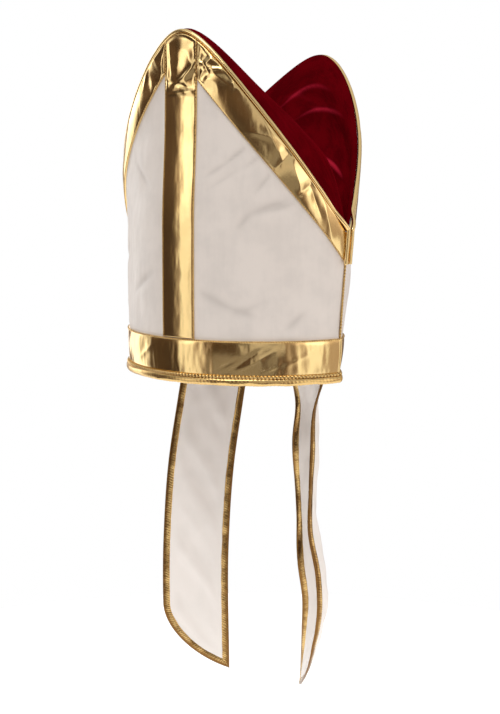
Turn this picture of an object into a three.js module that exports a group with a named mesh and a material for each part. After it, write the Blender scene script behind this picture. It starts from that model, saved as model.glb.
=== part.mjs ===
// Bishop mitre in millimetres. +Z is up, the front faces -Y, left and right are -X and +X.
// The origin is the middle of the head opening, level with the rim's lower edge.
import * as THREE from 'three';

// Hat body
const rimHalfWidth = 113.3;
const notchHeight = 134.4;
const frontHeight = 305.7;
const backHeight = 294.9;
const frontDepth = 79.6;
const backDepth = 62;
const hornRounding = 39.7;
const panelWall = 2.4;
const panelHem = 1;

// Gold trim on the panels
const trimWall = 1;
const trimGap = 0.6;
const buttGap = 0.4;
const centreBandWidth = 34;
const edgeBandAtMiddle = 37;
const edgeBandAtSeam = 30.4;
const slimBandAtMiddle = 31;
const slimBandAtSeam = 21;
const rimBandTop = 39;
const rimBindingHeight = 8.5;
const rimBindingThickness = 4.2;
const pipingRadius = 1.8;
const seamCordRadius = 1.1;

// Velvet crown
const velvetWall = 2;
const velvetBulge = 29;
const velvetHollow = 10;
const velvetLip = 4;
const valleyRise = 40;
const valleyDropAtNotch = 2;
const velvetFoldHeight = 3;
const velvetSeamGap = 0.4;

// Lappets
const lappetWidth = 65;
const lappetLength = 330;
const lappetPlace = 58;
const lappetWall = 1.6;
const lappetRounding = 48;
const lappetSlant = 18;
const lappetBindingWidth = 8;
const lappetBindingThickness = 3;
const leftSewnHeight = 22;
const rightSewnHeight = 8;

const FRONT = -1;
const BACK = 1;
const LEFT = -1;
const RIGHT = 1;

const satin = new THREE.MeshStandardMaterial({ color: 0xdad3cd, roughness: 0.5, metalness: 0 });
const lame = new THREE.MeshStandardMaterial({ color: 0xd6a550, roughness: 0.25, metalness: 1 });
const velvet = new THREE.MeshStandardMaterial({ color: 0x6b0410, roughness: 0.9, metalness: 0 });

// Cross sections of the two panels. Level 0 is the rim, 1 the side notches, 2 the horn's peak.
// Width and shift (of the seam, backwards) are shares of rimHalfWidth, depth of the panel's own depth.
const panels = {
  [FRONT]: {
    height: frontHeight,
    depth: frontDepth,
    sections: [
      { level: 0, width: 1, shift: 0, depth: 1 },
      { level: 0.3, width: 1.018, shift: 0.007, depth: 1.026 },
      { level: 0.6, width: 1.035, shift: 0.02, depth: 1.048 },
      { level: 1, width: 1.06, shift: 0.0446, depth: 1.08 },
      { level: 1.5, width: 1.128, shift: 0.015, depth: 0.981 },
      { level: 2, width: 1.178, shift: -0.0265, depth: 0.897 },
    ],
  },
  [BACK]: {
    height: backHeight,
    depth: backDepth,
    sections: [
      { level: 0, width: 1, shift: 0, depth: 1 },
      { level: 0.3, width: 1.018, shift: 0.007, depth: 1.275 },
      { level: 0.6, width: 1.035, shift: 0.02, depth: 1.45 },
      { level: 1, width: 1.06, shift: 0.0446, depth: 1.427 },
      { level: 1.5, width: 1.013, shift: 0.238, depth: 1.46 },
      { level: 2, width: 0.955, shift: 0.422, depth: 1.539 },
    ],
  },
};

// The velvet from the middle (0) to a notch (1): the near half's bulge and how close to the front edge
// it sits (a power), the far half's hollow and its lip at the back edge, as shares of the named sizes.
const crownSpread = [
  { out: 0, bulge: 0.45, place: 0.55, hollow: 0.9, lip: 1 },
  { out: 0.2, bulge: 0.55, place: 0.55, hollow: 1, lip: 1 },
  { out: 0.4, bulge: 0.7, place: 0.6, hollow: 1, lip: 1 },
  { out: 0.6, bulge: 0.93, place: 0.68, hollow: 0.9, lip: 0.75 },
  { out: 0.75, bulge: 1, place: 0.74, hollow: 0.6, lip: 0.5 },
  { out: 0.88, bulge: 0.62, place: 0.74, hollow: 0.3, lip: 0.25 },
  { out: 1, bulge: 0, place: 0.8, hollow: 0, lip: 0 },
];
const valleyAlong = 0.55;
const bulgeFade = 0.35;
const lipStart = 0.72;
const crownReach = 0.95;

// Soft folds across the far half, each from one (out, across) to the other: out runs from the left
// notch (-1) to the right one (1), across from the front edge (0) to the back edge (1).
const crownFolds = [
  { out0: -0.2, across0: 0.82, out1: 0.25, across1: 0.93, width: 0.045, height: 1 },
  { out0: 0, across0: 0.75, out1: 0.42, across1: 0.92, width: 0.05, height: 0.8 },
  { out0: 0.25, across0: 0.86, out1: -0.3, across1: 0.95, width: 0.05, height: 0.6 },
];

// How the lappets hang, from the rim (0) to the tip (1). Shifts are shares of lappetWidth, turn and curl
// are in radians, and the first row takes the curl of the rim that the lappet is sewn to.
const lappetHang = {
  [LEFT]: [
    { drop: 0, shiftX: 0, shiftY: 0, turn: 0, curl: null },
    { drop: 0.13, shiftX: -0.09, shiftY: -0.05, turn: 0.05, curl: 0.35 },
    { drop: 0.32, shiftX: -0.2, shiftY: -0.13, turn: 0.1, curl: 0.22 },
    { drop: 0.58, shiftX: -0.28, shiftY: -0.17, turn: 0.12, curl: 0.16 },
    { drop: 1, shiftX: -0.27, shiftY: -0.18, turn: 0.15, curl: 0.2 },
  ],
  [RIGHT]: [
    { drop: 0, shiftX: 0, shiftY: 0, turn: 0, curl: null },
    { drop: 0.11, shiftX: 0.03, shiftY: 0.08, turn: -0.27, curl: 1.39 },
    { drop: 0.22, shiftX: 0.07, shiftY: 0.08, turn: -0.22, curl: 2.16 },
    { drop: 0.34, shiftX: 0.04, shiftY: 0.06, turn: -0.31, curl: 1.62 },
    { drop: 0.45, shiftX: 0.07, shiftY: 0.07, turn: -0.35, curl: 1.8 },
    { drop: 0.59, shiftX: 0.16, shiftY: 0.14, turn: -0.2, curl: 2.44 },
    { drop: 0.7, shiftX: 0.17, shiftY: 0.18, turn: -0.28, curl: 2.2 },
    { drop: 0.82, shiftX: 0, shiftY: 0.21, turn: -0.4, curl: 1.34 },
    { drop: 1, shiftX: -0.33, shiftY: 0.17, turn: -0.73, curl: 0.3 },
  ],
};

// Number of steps in each mesh
const panelColumns = 28;
const rimRows = 2;
const hornRows = 10;
const crownColumns = 30;
const crownRows = 10;
const bandColumns = 4;
const edgeBandSteps = 14;
const pipingSteps = 16;
const lappetColumns = 5;
const lappetRows = 20;
const lappetEndSteps = 8;

const clamp = THREE.MathUtils.clamp;
const smoothstep = THREE.MathUtils.smoothstep;
const lerp = THREE.MathUtils.lerp;

// A smooth curve through one column of a table. A row at level 1 keeps the slope from below it, so that
// the two panels share one seam up to the notch.
function column(rows, key, name, x) {
  const slopeAfter = (i) => (rows[i + 1][name] - rows[i][name]) / (rows[i + 1][key] - rows[i][key]);
  const slopeAt = (i) => {
    if (i === 0) return slopeAfter(0);
    if (i === rows.length - 1 || rows[i].level === 1) return slopeAfter(i - 1);
    const before = rows[i][key] - rows[i - 1][key];
    const after = rows[i + 1][key] - rows[i][key];
    return (slopeAfter(i - 1) * after + slopeAfter(i) * before) / (before + after);
  };
  let i = 0;
  while (i < rows.length - 2 && x > rows[i + 1][key]) i += 1;
  const h = rows[i + 1][key] - rows[i][key];
  const t = (x - rows[i][key]) / h;
  const rest = 1 - t;
  return rows[i][name] * (1 + 2 * t) * rest * rest + rows[i + 1][name] * t * t * (3 - 2 * t)
    + h * t * rest * (slopeAt(i) * rest - slopeAt(i + 1) * t);
}

// The panel's arc at height z: its radius, the y of its centre and the length from middle to seam.
function section(side, z) {
  const { height, depth, sections } = panels[side];
  const level = z < notchHeight ? z / notchHeight : 1 + (z - notchHeight) / (height - notchHeight);
  const halfWidth = rimHalfWidth * column(sections, 'level', 'width', level);
  const seamY = rimHalfWidth * column(sections, 'level', 'shift', level);
  const bow = depth * column(sections, 'level', 'depth', level);
  const radius = (halfWidth ** 2 + bow ** 2) / (2 * bow);
  const centreY = seamY + side * (bow - radius);
  return { halfWidth, seamY, radius, centreY, arc: 2 * Math.atan(bow / halfWidth) * radius };
}

const notchArc = { [FRONT]: section(FRONT, notchHeight).arc, [BACK]: section(BACK, notchHeight).arc };

// The point at arc length s from the middle and height z, moved outwards.
function onPanel(side, s, z, outwards) {
  const { radius, centreY } = section(side, z);
  const angle = s / radius;
  const r = radius + outwards;
  return new THREE.Vector3(r * Math.sin(angle), centreY + side * r * Math.cos(angle), z);
}

// The horn's edge is two straight lines on the flat pattern, rounded where they meet at the peak.
function edgeHeight(side, s, inset) {
  const { height } = panels[side];
  const steep = Math.sqrt((height + hornRounding - notchHeight) ** 2 - hornRounding ** 2) / notchArc[side];
  const slant = Math.hypot(steep * s, hornRounding);
  const slope = steep * steep * s / slant;
  return height + hornRounding - slant - inset * Math.hypot(1, slope);
}

// Arc length at a share u of the way from the middle to the seam. What lies off the panel's outer face is
// mitred there, so that front and back pieces stay clear of the seam's middle line.
function seamShare(side, u, z, outwards) {
  const { arc, radius } = section(side, Math.min(z, notchHeight));
  return u * (arc - buttGap / 2 + outwards / Math.tan(arc / radius));
}

// A closed body from a list of points and triangles, with its faces turned outwards.
function body(name, material, points, faces) {
  const volume = faces.reduce((sum, [a, b, c]) => (
    sum + points[a].dot(new THREE.Vector3().crossVectors(points[b], points[c]))), 0);
  const geometry = new THREE.BufferGeometry().setFromPoints(points);
  geometry.setIndex(faces.flatMap(([a, b, c]) => (volume > 0 ? [a, b, c] : [a, c, b])));
  geometry.computeVertexNormals();
  const mesh = new THREE.Mesh(geometry, material);
  mesh.name = name;
  return mesh;
}

// A cloth wall between two surfaces, each given at (a, b) from 0 to 1.
function wall(name, material, columns, rows, outer, inner) {
  const points = [];
  for (const surface of [outer, inner]) {
    for (let i = 0; i <= columns; i += 1) {
      for (let j = 0; j <= rows; j += 1) points.push(surface(i / columns, j / rows));
    }
  }
  const layer = (columns + 1) * (rows + 1);
  const at = (i, j) => i * (rows + 1) + j;
  const faces = [];
  const quad = (a, b, c, d) => faces.push([a, b, c], [a, c, d]);
  for (let i = 0; i < columns; i += 1) {
    for (let j = 0; j < rows; j += 1) {
      quad(at(i, j), at(i + 1, j), at(i + 1, j + 1), at(i, j + 1));
      quad(layer + at(i, j), layer + at(i, j + 1), layer + at(i + 1, j + 1), layer + at(i + 1, j));
    }
    quad(at(i, 0), layer + at(i, 0), layer + at(i + 1, 0), at(i + 1, 0));
    quad(at(i, rows), at(i + 1, rows), layer + at(i + 1, rows), layer + at(i, rows));
  }
  for (let j = 0; j < rows; j += 1) {
    quad(at(0, j), at(0, j + 1), layer + at(0, j + 1), layer + at(0, j));
    quad(at(columns, j), layer + at(columns, j), layer + at(columns, j + 1), at(columns, j + 1));
  }
  return body(name, material, points, faces);
}

// A solid strip through a row of closed rings, all with the same number of points.
function strip(name, material, rings) {
  const count = rings[0].length;
  const faces = [];
  for (let i = 0; i < rings.length - 1; i += 1) {
    for (let k = 0; k < count; k += 1) {
      const a = i * count + k;
      const b = i * count + (k + 1) % count;
      faces.push([a, b, b + count], [a, b + count, a + count]);
    }
  }
  const last = (rings.length - 1) * count;
  for (let k = 1; k < count - 1; k += 1) {
    faces.push([0, k + 1, k], [last, last + k, last + k + 1]);
  }
  return body(name, material, rings.flat(), faces);
}

// A round cord along a path of points, each with the direction that faces outwards.
function cord(name, material, path, radius, sides) {
  const rings = path.map(({ point, outwards }, i) => {
    const next = path[Math.min(i + 1, path.length - 1)].point;
    const previous = path[Math.max(i - 1, 0)].point;
    const along = new THREE.Vector3().subVectors(next, previous).normalize();
    const across = new THREE.Vector3().crossVectors(along, outwards).normalize();
    const up = new THREE.Vector3().crossVectors(across, along);
    return Array.from({ length: sides }, (_, k) => {
      const angle = 2 * Math.PI * k / sides;
      const rise = radius * Math.cos(angle);
      return point.clone().addScaledVector(up, rise).addScaledVector(across, radius * Math.sin(angle));
    });
  });
  return strip(name, material, rings);
}

// The two surfaces of a cloth of a given thickness about a middle surface, given at (a, b). They face
// along the surface's mean slope over a step each way, so that walls that meet at a crease are mitred.
function bothFaces(middle, thickness, step) {
  const face = (sign) => (a, b) => {
    const alongA = new THREE.Vector3().subVectors(middle(a + step, b), middle(a - step, b));
    const alongB = new THREE.Vector3().subVectors(middle(a, b + step), middle(a, b - step));
    const normal = alongA.cross(alongB).normalize();
    return middle(a, b).addScaledVector(normal, sign * thickness / 2);
  };
  return [face(1), face(-1)];
}

const panelInset = 2 * pipingRadius + buttGap;
const sideName = { [FRONT]: 'front', [BACK]: 'back' };
const handName = { [LEFT]: 'left', [RIGHT]: 'right' };

function panel(side) {
  const surface = (outwards) => (a, b) => {
    const u = 2 * a - 1;
    const top = edgeHeight(side, u * notchArc[side], panelInset);
    const row = b * (rimRows + hornRows);
    const z = row < rimRows
      ? lerp(panelHem, rimBandTop, row / rimRows)
      : lerp(rimBandTop, top, (row - rimRows) / hornRows);
    return onPanel(side, seamShare(side, u, z, outwards), z, outwards);
  };
  const name = `${sideName[side]}_panel`;
  return wall(name, satin, panelColumns, rimRows + hornRows, surface(0), surface(-panelWall));
}

// Trim lies on the panel where place(a, b, outwards) puts it, as an arc length and a height.
function trim(name, side, columns, rows, place) {
  const surface = (outwards) => (a, b) => {
    const { s, z } = place(a, b, outwards);
    return onPanel(side, s, z, outwards);
  };
  return wall(name, lame, columns, rows, surface(trimGap + trimWall), surface(trimGap));
}

function centreBand(side) {
  return trim(`${sideName[side]}_centre_band`, side, bandColumns, hornRows, (a, b) => {
    const s = (a - 0.5) * centreBandWidth;
    return { s, z: lerp(rimBandTop + buttGap, edgeHeight(side, s, panelInset), b) };
  });
}

// The slanted bands' inner edge is a straight line on the pattern, measured down from the horn's edge.
// The front horn's left band is the slim one.
function bandInnerHeight(side, hand, s) {
  const slim = side === FRONT && hand === LEFT;
  const start = centreBandWidth / 2;
  const high = edgeHeight(side, start, 0) - (slim ? slimBandAtMiddle : edgeBandAtMiddle);
  const low = notchHeight - (slim ? slimBandAtSeam : edgeBandAtSeam);
  return lerp(high, low, (s - start) / (notchArc[side] - start));
}

function edgeBand(side, hand) {
  const start = centreBandWidth / 2 + buttGap;
  return trim(`${sideName[side]}_${handName[hand]}_edge_band`, side, edgeBandSteps, 2, (a, b, outwards) => {
    const sOnPattern = lerp(start, notchArc[side], a);
    const z = lerp(bandInnerHeight(side, hand, sOnPattern), edgeHeight(side, sOnPattern, panelInset), b);
    return { s: hand * seamShare(side, sOnPattern / notchArc[side], z, outwards), z };
  });
}

function rimBand(side) {
  return trim(`${sideName[side]}_rim_band`, side, panelColumns, rimRows, (a, b, outwards) => {
    const z = lerp(rimBindingHeight + buttGap, rimBandTop, b);
    return { s: seamShare(side, 2 * a - 1, z, outwards), z };
  });
}

function rimBinding(side) {
  const sides = 8;
  const rings = [];
  for (let i = 0; i <= panelColumns; i += 1) {
    const u = 2 * i / panelColumns - 1;
    rings.push(Array.from({ length: sides }, (_, k) => {
      const angle = 2 * Math.PI * (k + 0.5) / sides;
      const out = trimGap + rimBindingThickness / 2 * (1 + Math.cos(angle) / Math.cos(Math.PI / sides));
      const z = rimBindingHeight / 2 * (1 + Math.sin(angle) / Math.cos(Math.PI / sides));
      return onPanel(side, seamShare(side, u, z, out), z, out);
    }));
  }
  return strip(`${sideName[side]}_rim_binding`, lame, rings);
}

// The piping runs up from the foot of the slanted bands, over the notch, along the horn's edge and down.
const pipingFoot = notchHeight - edgeBandAtSeam;
const pipingRest = -0.4;
const pipingOut = trimGap + trimWall + buttGap + pipingRadius;

function edgePiping(side) {
  const place = (s, z, out) => {
    const point = onPanel(side, s, z, out);
    return { point, outwards: onPanel(side, s, z, out + 1).sub(point) };
  };
  const half = [];
  const clear = pipingRadius + buttGap / 2;
  const footSteps = 4;
  const footTop = notchHeight - panelInset;
  for (let i = 0; i < footSteps; i += 1) {
    const z = lerp(pipingFoot, footTop, i / (footSteps - 1));
    half.push({ s: section(side, z).arc - clear, z, out: pipingOut });
  }
  for (let i = 0; i <= pipingSteps; i += 1) {
    const s = (notchArc[side] - clear) * (1 - i / pipingSteps);
    const turn = smoothstep(s, notchArc[side] - 9 * pipingRadius, notchArc[side] - 2.5 * pipingRadius);
    half.push({ s, z: edgeHeight(side, s, pipingRadius), out: lerp(pipingRest, pipingOut, turn) });
  }
  const otherHalf = half.slice(0, -1).reverse();
  const path = [
    ...half.map(({ s, z, out }) => place(s, z, out)),
    ...otherHalf.map(({ s, z, out }) => place(-s, z, out)),
  ];
  return cord(`${sideName[side]}_edge_piping`, lame, path, pipingRadius, 6);
}

function seamCord(hand) {
  const steps = 5;
  const outwards = new THREE.Vector3(hand, 0, 0);
  const path = Array.from({ length: steps + 1 }, (_, i) => {
    const z = lerp(rimBandTop + buttGap, pipingFoot - buttGap, i / steps);
    const { halfWidth, seamY } = section(FRONT, z);
    return { point: new THREE.Vector3(hand * (halfWidth + seamCordRadius + buttGap), seamY, z), outwards };
  });
  return cord(`${handName[hand]}_seam_cord`, lame, path, seamCordRadius, 6);
}

// Height of the fold ridges at a place on the crown.
function foldHeight(out, across) {
  return crownFolds.reduce((sum, fold) => {
    const dOut = fold.out1 - fold.out0;
    const dAcross = fold.across1 - fold.across0;
    const along = (out - fold.out0) * dOut + (across - fold.across0) * dAcross;
    const t = clamp(along / (dOut ** 2 + dAcross ** 2), 0, 1);
    const away = Math.hypot(out - fold.out0 - t * dOut, across - fold.across0 - t * dAcross) / fold.width;
    return sum + velvetFoldHeight * fold.height * Math.sin(Math.PI * t) * Math.exp(-away * away);
  }, 0);
}

// The velvet spans from the front horn's edge to the back one's, with a valley between the notches.
// The near half bulges up over the front edge and the far half hangs hollow from the back edge.
function crownPoint(out, across) {
  const inwards = -(panelWall + buttGap + velvetWall / 2);
  const edge = (side) => {
    const s = out * notchArc[side];
    return onPanel(side, s, edgeHeight(side, s, pipingRadius), inwards);
  };
  const near = edge(FRONT);
  const far = edge(BACK);
  const share = Math.min(Math.abs(out), 1);
  const spread = (name) => column(crownSpread, 'out', name, share);
  const valley = near.clone().lerp(far, valleyAlong);
  const floor = notchHeight - valleyDropAtNotch + valleyRise * (1 - share ** 2.2);
  valley.z = Math.min(floor, valley.z);
  const span = far.clone().sub(near).normalize();
  const upFrom = (line) => {
    const level = line.dot(span);
    return span.clone().multiplyScalar(-line.z).setZ(level).normalize();
  };
  if (across < 0.5) {
    const t = clamp(2 * across, 0, 1);
    const line = valley.clone().sub(near);
    const bulge = velvetBulge * spread('bulge') * (1 - bulgeFade * t);
    const rise = bulge * Math.sin(Math.PI * t ** spread('place'));
    return near.clone().addScaledVector(line, t).addScaledVector(upFrom(line), rise);
  }
  const t = clamp(2 * across - 1, 0, 1);
  const line = far.clone().sub(valley);
  const lip = velvetLip * spread('lip') * Math.sin(Math.PI * clamp((t - lipStart) / (1 - lipStart), 0, 1));
  const hang = (foldHeight(out, across) - velvetHollow * spread('hollow')) * Math.sin(Math.PI * t);
  return valley.clone().addScaledVector(line, t).addScaledVector(upFrom(line), lip + hang);
}

// The near or the far half of the velvet. The two meet in the valley, each half a seam's gap away.
function crown(side) {
  const step = 0.01;
  const middle = (a, b) => crownPoint(crownReach * (2 * a - 1), b);
  const [outer, inner] = bothFaces(middle, velvetWall, step);
  const edge = side === FRONT ? 0 : 1;
  const half = (surface) => (a, b) => {
    if (b > 0) return surface(a, lerp(0.5, edge, b));
    const across = middle(a, 0.5 + step).sub(middle(a, 0.5 - step)).normalize();
    return surface(a, 0.5).addScaledVector(across, side * velvetSeamGap / 2);
  };
  return wall(`${sideName[side]}_crown`, velvet, crownColumns, crownRows, half(outer), half(inner));
}

const sewnHeight = { [LEFT]: leftSewnHeight, [RIGHT]: rightSewnHeight };

// Distance down a lappet, with a row of points where it passes the rim.
function lappetDrop(hand, end, share) {
  const row = share * lappetRows;
  const sewn = sewnHeight[hand];
  return row < 1 ? sewn * row : lerp(sewn, end, (row - 1) / (lappetRows - 1));
}

// A lappet follows the inner face of the back panel where it is sewn in, and hangs free below the rim.
function lappetSurface(hand) {
  const sewn = sewnHeight[hand];
  const inwards = -(panelWall + buttGap + lappetBindingThickness / 2);
  const rim = section(BACK, 0);
  const radius = rim.radius + inwards;
  const angle = hand * lappetPlace / rim.radius;
  const rows = lappetHang[hand].map((row) => ({ ...row, curl: row.curl ?? lappetWidth / radius }));
  const middle = new THREE.Vector3(radius * Math.sin(angle), rim.centreY + radius * Math.cos(angle), 0);
  return (w, d) => {
    const z = sewn - d;
    if (z > 0) {
      const wallRadius = section(BACK, z).radius;
      return onPanel(BACK, hand * lappetPlace + w * wallRadius / (wallRadius + inwards), z, inwards);
    }
    const hang = (name) => column(rows, 'drop', name, -z / (lappetLength - sewn));
    const heading = hang('turn') - angle;
    const bend = lappetWidth / hang('curl');
    const across = bend * Math.sin(w / bend);
    const forward = bend * (1 - Math.cos(w / bend));
    return new THREE.Vector3(
      middle.x + lappetWidth * hang('shiftX') + across * Math.cos(heading) + forward * Math.sin(heading),
      middle.y + lappetWidth * hang('shiftY') + across * Math.sin(heading) - forward * Math.cos(heading),
      z,
    );
  };
}

// The lappet's cut: straight sides, and a rounded end that runs down to a tip at the inner side.
function lappetOutline(hand) {
  const inner = -hand * lappetWidth / 2;
  const corner = lappetLength - lappetSlant - lappetRounding;
  const outline = [];
  for (let i = 0; i < lappetRows; i += 1) {
    outline.push(new THREE.Vector2(inner, lappetDrop(hand, lappetLength, i / lappetRows)));
  }
  for (let i = 0; i <= lappetEndSteps; i += 1) {
    const angle = Math.PI / 2 * i / lappetEndSteps;
    const across = Math.sin(angle);
    const d = lappetLength - lappetSlant * across - lappetRounding * (1 - Math.cos(angle));
    outline.push(new THREE.Vector2(inner * (1 - 2 * across), d));
  }
  for (let i = lappetRows - 1; i >= 0; i -= 1) {
    outline.push(new THREE.Vector2(-inner, lappetDrop(hand, corner, i / lappetRows)));
  }
  return outline;
}

// The outline moved in by a distance, with mitred corners.
function insetOutline(outline, hand, inset) {
  const normalOf = (a, b) => new THREE.Vector2(-(b.y - a.y), b.x - a.x).normalize().multiplyScalar(-hand);
  return outline.map((point, i) => {
    const before = i > 0 ? normalOf(outline[i - 1], point) : normalOf(point, outline[i + 1]);
    const after = i < outline.length - 1 ? normalOf(point, outline[i + 1]) : before;
    const mitre = before.clone().add(after).divideScalar(1 + before.dot(after));
    return point.clone().addScaledVector(mitre, inset);
  });
}

// A point of the lappet at (w, d) on its cut, lifted off the cloth's middle surface.
function lappetPoint(surface, w, d, lift) {
  const step = 0.5;
  const alongW = surface(w + step, d).sub(surface(w - step, d));
  const alongD = surface(w, d + step).sub(surface(w, d - step));
  return surface(w, d).addScaledVector(alongW.cross(alongD).normalize(), lift);
}

function lappet(hand) {
  const surface = lappetSurface(hand);
  const inset = lappetBindingWidth + buttGap;
  const outline = insetOutline(lappetOutline(hand), hand, inset);
  const end = outline.slice(lappetRows, lappetRows + lappetEndSteps + 1);
  const halfWidth = lappetWidth / 2 - inset;
  const endAt = (w) => {
    const outer = end.findIndex((p) => hand * p.x >= hand * w - buttGap / 10);
    const [p, q] = [end[Math.max(outer, 1) - 1], end[Math.max(outer, 1)]];
    return lerp(p.y, q.y, clamp((w - p.x) / (q.x - p.x), 0, 1));
  };
  const face = (lift) => (a, b) => {
    const w = halfWidth * (2 * a - 1);
    return lappetPoint(surface, w, lappetDrop(hand, endAt(w), b), lift);
  };
  const name = `${handName[hand]}_lappet`;
  return wall(name, satin, lappetColumns, lappetRows, face(lappetWall / 2), face(-lappetWall / 2));
}

function lappetBinding(hand) {
  const surface = lappetSurface(hand);
  const outline = lappetOutline(hand);
  const half = lappetBindingThickness / 2;
  const profile = [
    { inset: 0, lift: -0.6 * half },
    { inset: half, lift: -half },
    { inset: lappetBindingWidth, lift: -half },
    { inset: lappetBindingWidth, lift: half },
    { inset: half, lift: half },
    { inset: 0, lift: 0.6 * half },
  ];
  const lines = profile.map(({ inset }) => insetOutline(outline, hand, inset));
  const rings = outline.map((_, i) => profile.map(({ lift }, k) => {
    const { x, y } = lines[k][i];
    return lappetPoint(surface, x, y, lift);
  }));
  return strip(`${handName[hand]}_lappet_binding`, lame, rings);
}

const mitre = new THREE.Group();
for (const side of [FRONT, BACK]) {
  mitre.add(panel(side), centreBand(side), rimBand(side), rimBinding(side), edgePiping(side), crown(side));
  for (const hand of [LEFT, RIGHT]) mitre.add(edgeBand(side, hand));
}
for (const hand of [LEFT, RIGHT]) mitre.add(seamCord(hand), lappet(hand), lappetBinding(hand));

export default mitre;
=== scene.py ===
"""Bishop mitre: satin, velvet and gold cloth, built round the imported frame, with a stage to show it on."""

import math
from types import SimpleNamespace
from typing import NamedTuple

import bmesh
import bpy
import numpy as np
from mathutils import Matrix, Vector


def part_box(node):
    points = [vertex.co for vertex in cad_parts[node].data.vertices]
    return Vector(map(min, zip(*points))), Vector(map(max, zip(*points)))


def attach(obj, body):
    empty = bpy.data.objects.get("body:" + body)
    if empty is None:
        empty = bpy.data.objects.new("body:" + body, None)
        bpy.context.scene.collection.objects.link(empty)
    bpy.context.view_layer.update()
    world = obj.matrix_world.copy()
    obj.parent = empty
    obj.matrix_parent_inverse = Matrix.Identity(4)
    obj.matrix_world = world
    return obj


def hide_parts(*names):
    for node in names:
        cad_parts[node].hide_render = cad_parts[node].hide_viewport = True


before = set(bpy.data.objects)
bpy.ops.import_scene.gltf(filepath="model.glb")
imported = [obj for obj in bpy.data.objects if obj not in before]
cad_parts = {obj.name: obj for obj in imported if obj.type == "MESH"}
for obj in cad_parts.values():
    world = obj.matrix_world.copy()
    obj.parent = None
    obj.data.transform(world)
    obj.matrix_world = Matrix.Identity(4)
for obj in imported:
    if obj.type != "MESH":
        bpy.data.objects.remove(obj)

bl_info = {
    "name": "Bishop mitre",
    "version": (1, 0, 0),
    "blender": (4, 5, 0),
    "location": "3D View > Sidebar > Mitre",
    "description": "Dresses the frame of a bishop's mitre in satin, velvet and gold cloth",
    "category": "Object",
}

MM = 0.001
FRONT, BACK = -1, 1
LEFT, RIGHT = -1, 1
SIDES = {FRONT: "front", BACK: "back"}
HANDS = {LEFT: "left", RIGHT: "right"}
BODY = "root"
PATTERN = "pattern"
SHADE = "shade"
IMAGE_WIDTH = 500
IMAGE_HEIGHT = 714

# How finely the cloth is divided.
PANEL_COLUMNS = 190
PANEL_ROWS = 130
CROWN_COLUMNS = 190
CROWN_ROWS = 150
LAPPET_COLUMNS = 44
LAPPET_ROWS = 240
BAND_STEP = 1.1 * MM
PIPING_STEP = 0.9 * MM
BINDING_STEP = 0.7 * MM
ROLL_STEP = 0.6 * MM


class Crease(NamedTuple):
    """A straight crease or fold in cloth, from one point to another.

    Its width is half its whole width, and it sinks in if its height is negative."""

    x0: float
    y0: float
    x1: float
    y1: float
    width: float
    height: float

    def near(self, x, y):
        """How far along the crease a point lies, from 0 to 1, and how far away from it, in widths."""
        dx, dy = self.x1 - self.x0, self.y1 - self.y0
        from_x, from_y = x - self.x0, y - self.y0
        t = np.clip((from_x * dx + from_y * dy) / (dx**2 + dy**2), 0, 1)
        return t, np.hypot(from_x - t * dx, from_y - t * dy) / self.width


# Cross sections of the two panels: level 0 is the rim, 1 the side notches, 2 the horn's peak.
# Width and shift are shares of the rim's half width, depth a share of the panel's own depth.
PANEL_SECTIONS = {
    FRONT: [
        {"level": 0, "width": 1, "shift": 0, "depth": 1},
        {"level": 0.3, "width": 1.018, "shift": 0.007, "depth": 1.026},
        {"level": 0.6, "width": 1.035, "shift": 0.02, "depth": 1.048},
        {"level": 1, "width": 1.06, "shift": 0.0446, "depth": 1.08},
        {"level": 1.5, "width": 1.128, "shift": 0.015, "depth": 0.981},
        {"level": 2, "width": 1.178, "shift": -0.0265, "depth": 0.897},
    ],
    BACK: [
        {"level": 0, "width": 1, "shift": 0, "depth": 1},
        {"level": 0.3, "width": 1.018, "shift": 0.007, "depth": 1.275},
        {"level": 0.6, "width": 1.035, "shift": 0.02, "depth": 1.45},
        {"level": 1, "width": 1.06, "shift": 0.0446, "depth": 1.427},
        {"level": 1.5, "width": 1.013, "shift": 0.238, "depth": 1.46},
        {"level": 2, "width": 0.955, "shift": 0.422, "depth": 1.539},
    ],
}

# The velvet from the middle (0) to a notch (1), as shares of the velvet's sizes: the near half's bulge
# and how close to the front edge it sits, the far half's hollow and its lip at the back edge.
CROWN_SPREAD = [
    {"out": 0, "bulge": 0.45, "place": 0.55, "hollow": 0.9, "lip": 1},
    {"out": 0.2, "bulge": 0.55, "place": 0.55, "hollow": 1, "lip": 1},
    {"out": 0.4, "bulge": 0.7, "place": 0.6, "hollow": 1, "lip": 1},
    {"out": 0.6, "bulge": 0.93, "place": 0.68, "hollow": 0.9, "lip": 0.75},
    {"out": 0.75, "bulge": 1, "place": 0.74, "hollow": 0.6, "lip": 0.5},
    {"out": 0.88, "bulge": 0.62, "place": 0.74, "hollow": 0.3, "lip": 0.25},
    {"out": 1, "bulge": 0, "place": 0.8, "hollow": 0, "lip": 0},
]

# Folds across the velvet: x is the share of the way out to the notches, y the share of the way across to
# the back edge, and height a share of fold_height.
CROWN_FOLDS = [
    Crease(-0.26, 0.825, 0.26, 0.925, 0.03, 0.7),
    Crease(-0.06, 0.745, 0.44, 0.935, 0.03, 0.8),
    Crease(0.26, 0.66, 0.64, 0.745, 0.045, 1.1),
    Crease(0.46, 0.63, 0.8, 0.61, 0.03, 0.6),
    Crease(0.2, 0.81, -0.3, 0.9, 0.04, 0.3),
    Crease(-0.5, 0.66, -0.2, 0.8, 0.035, 0.6),
    Crease(-0.72, 0.6, -0.42, 0.72, 0.04, 0.8),
]

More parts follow.
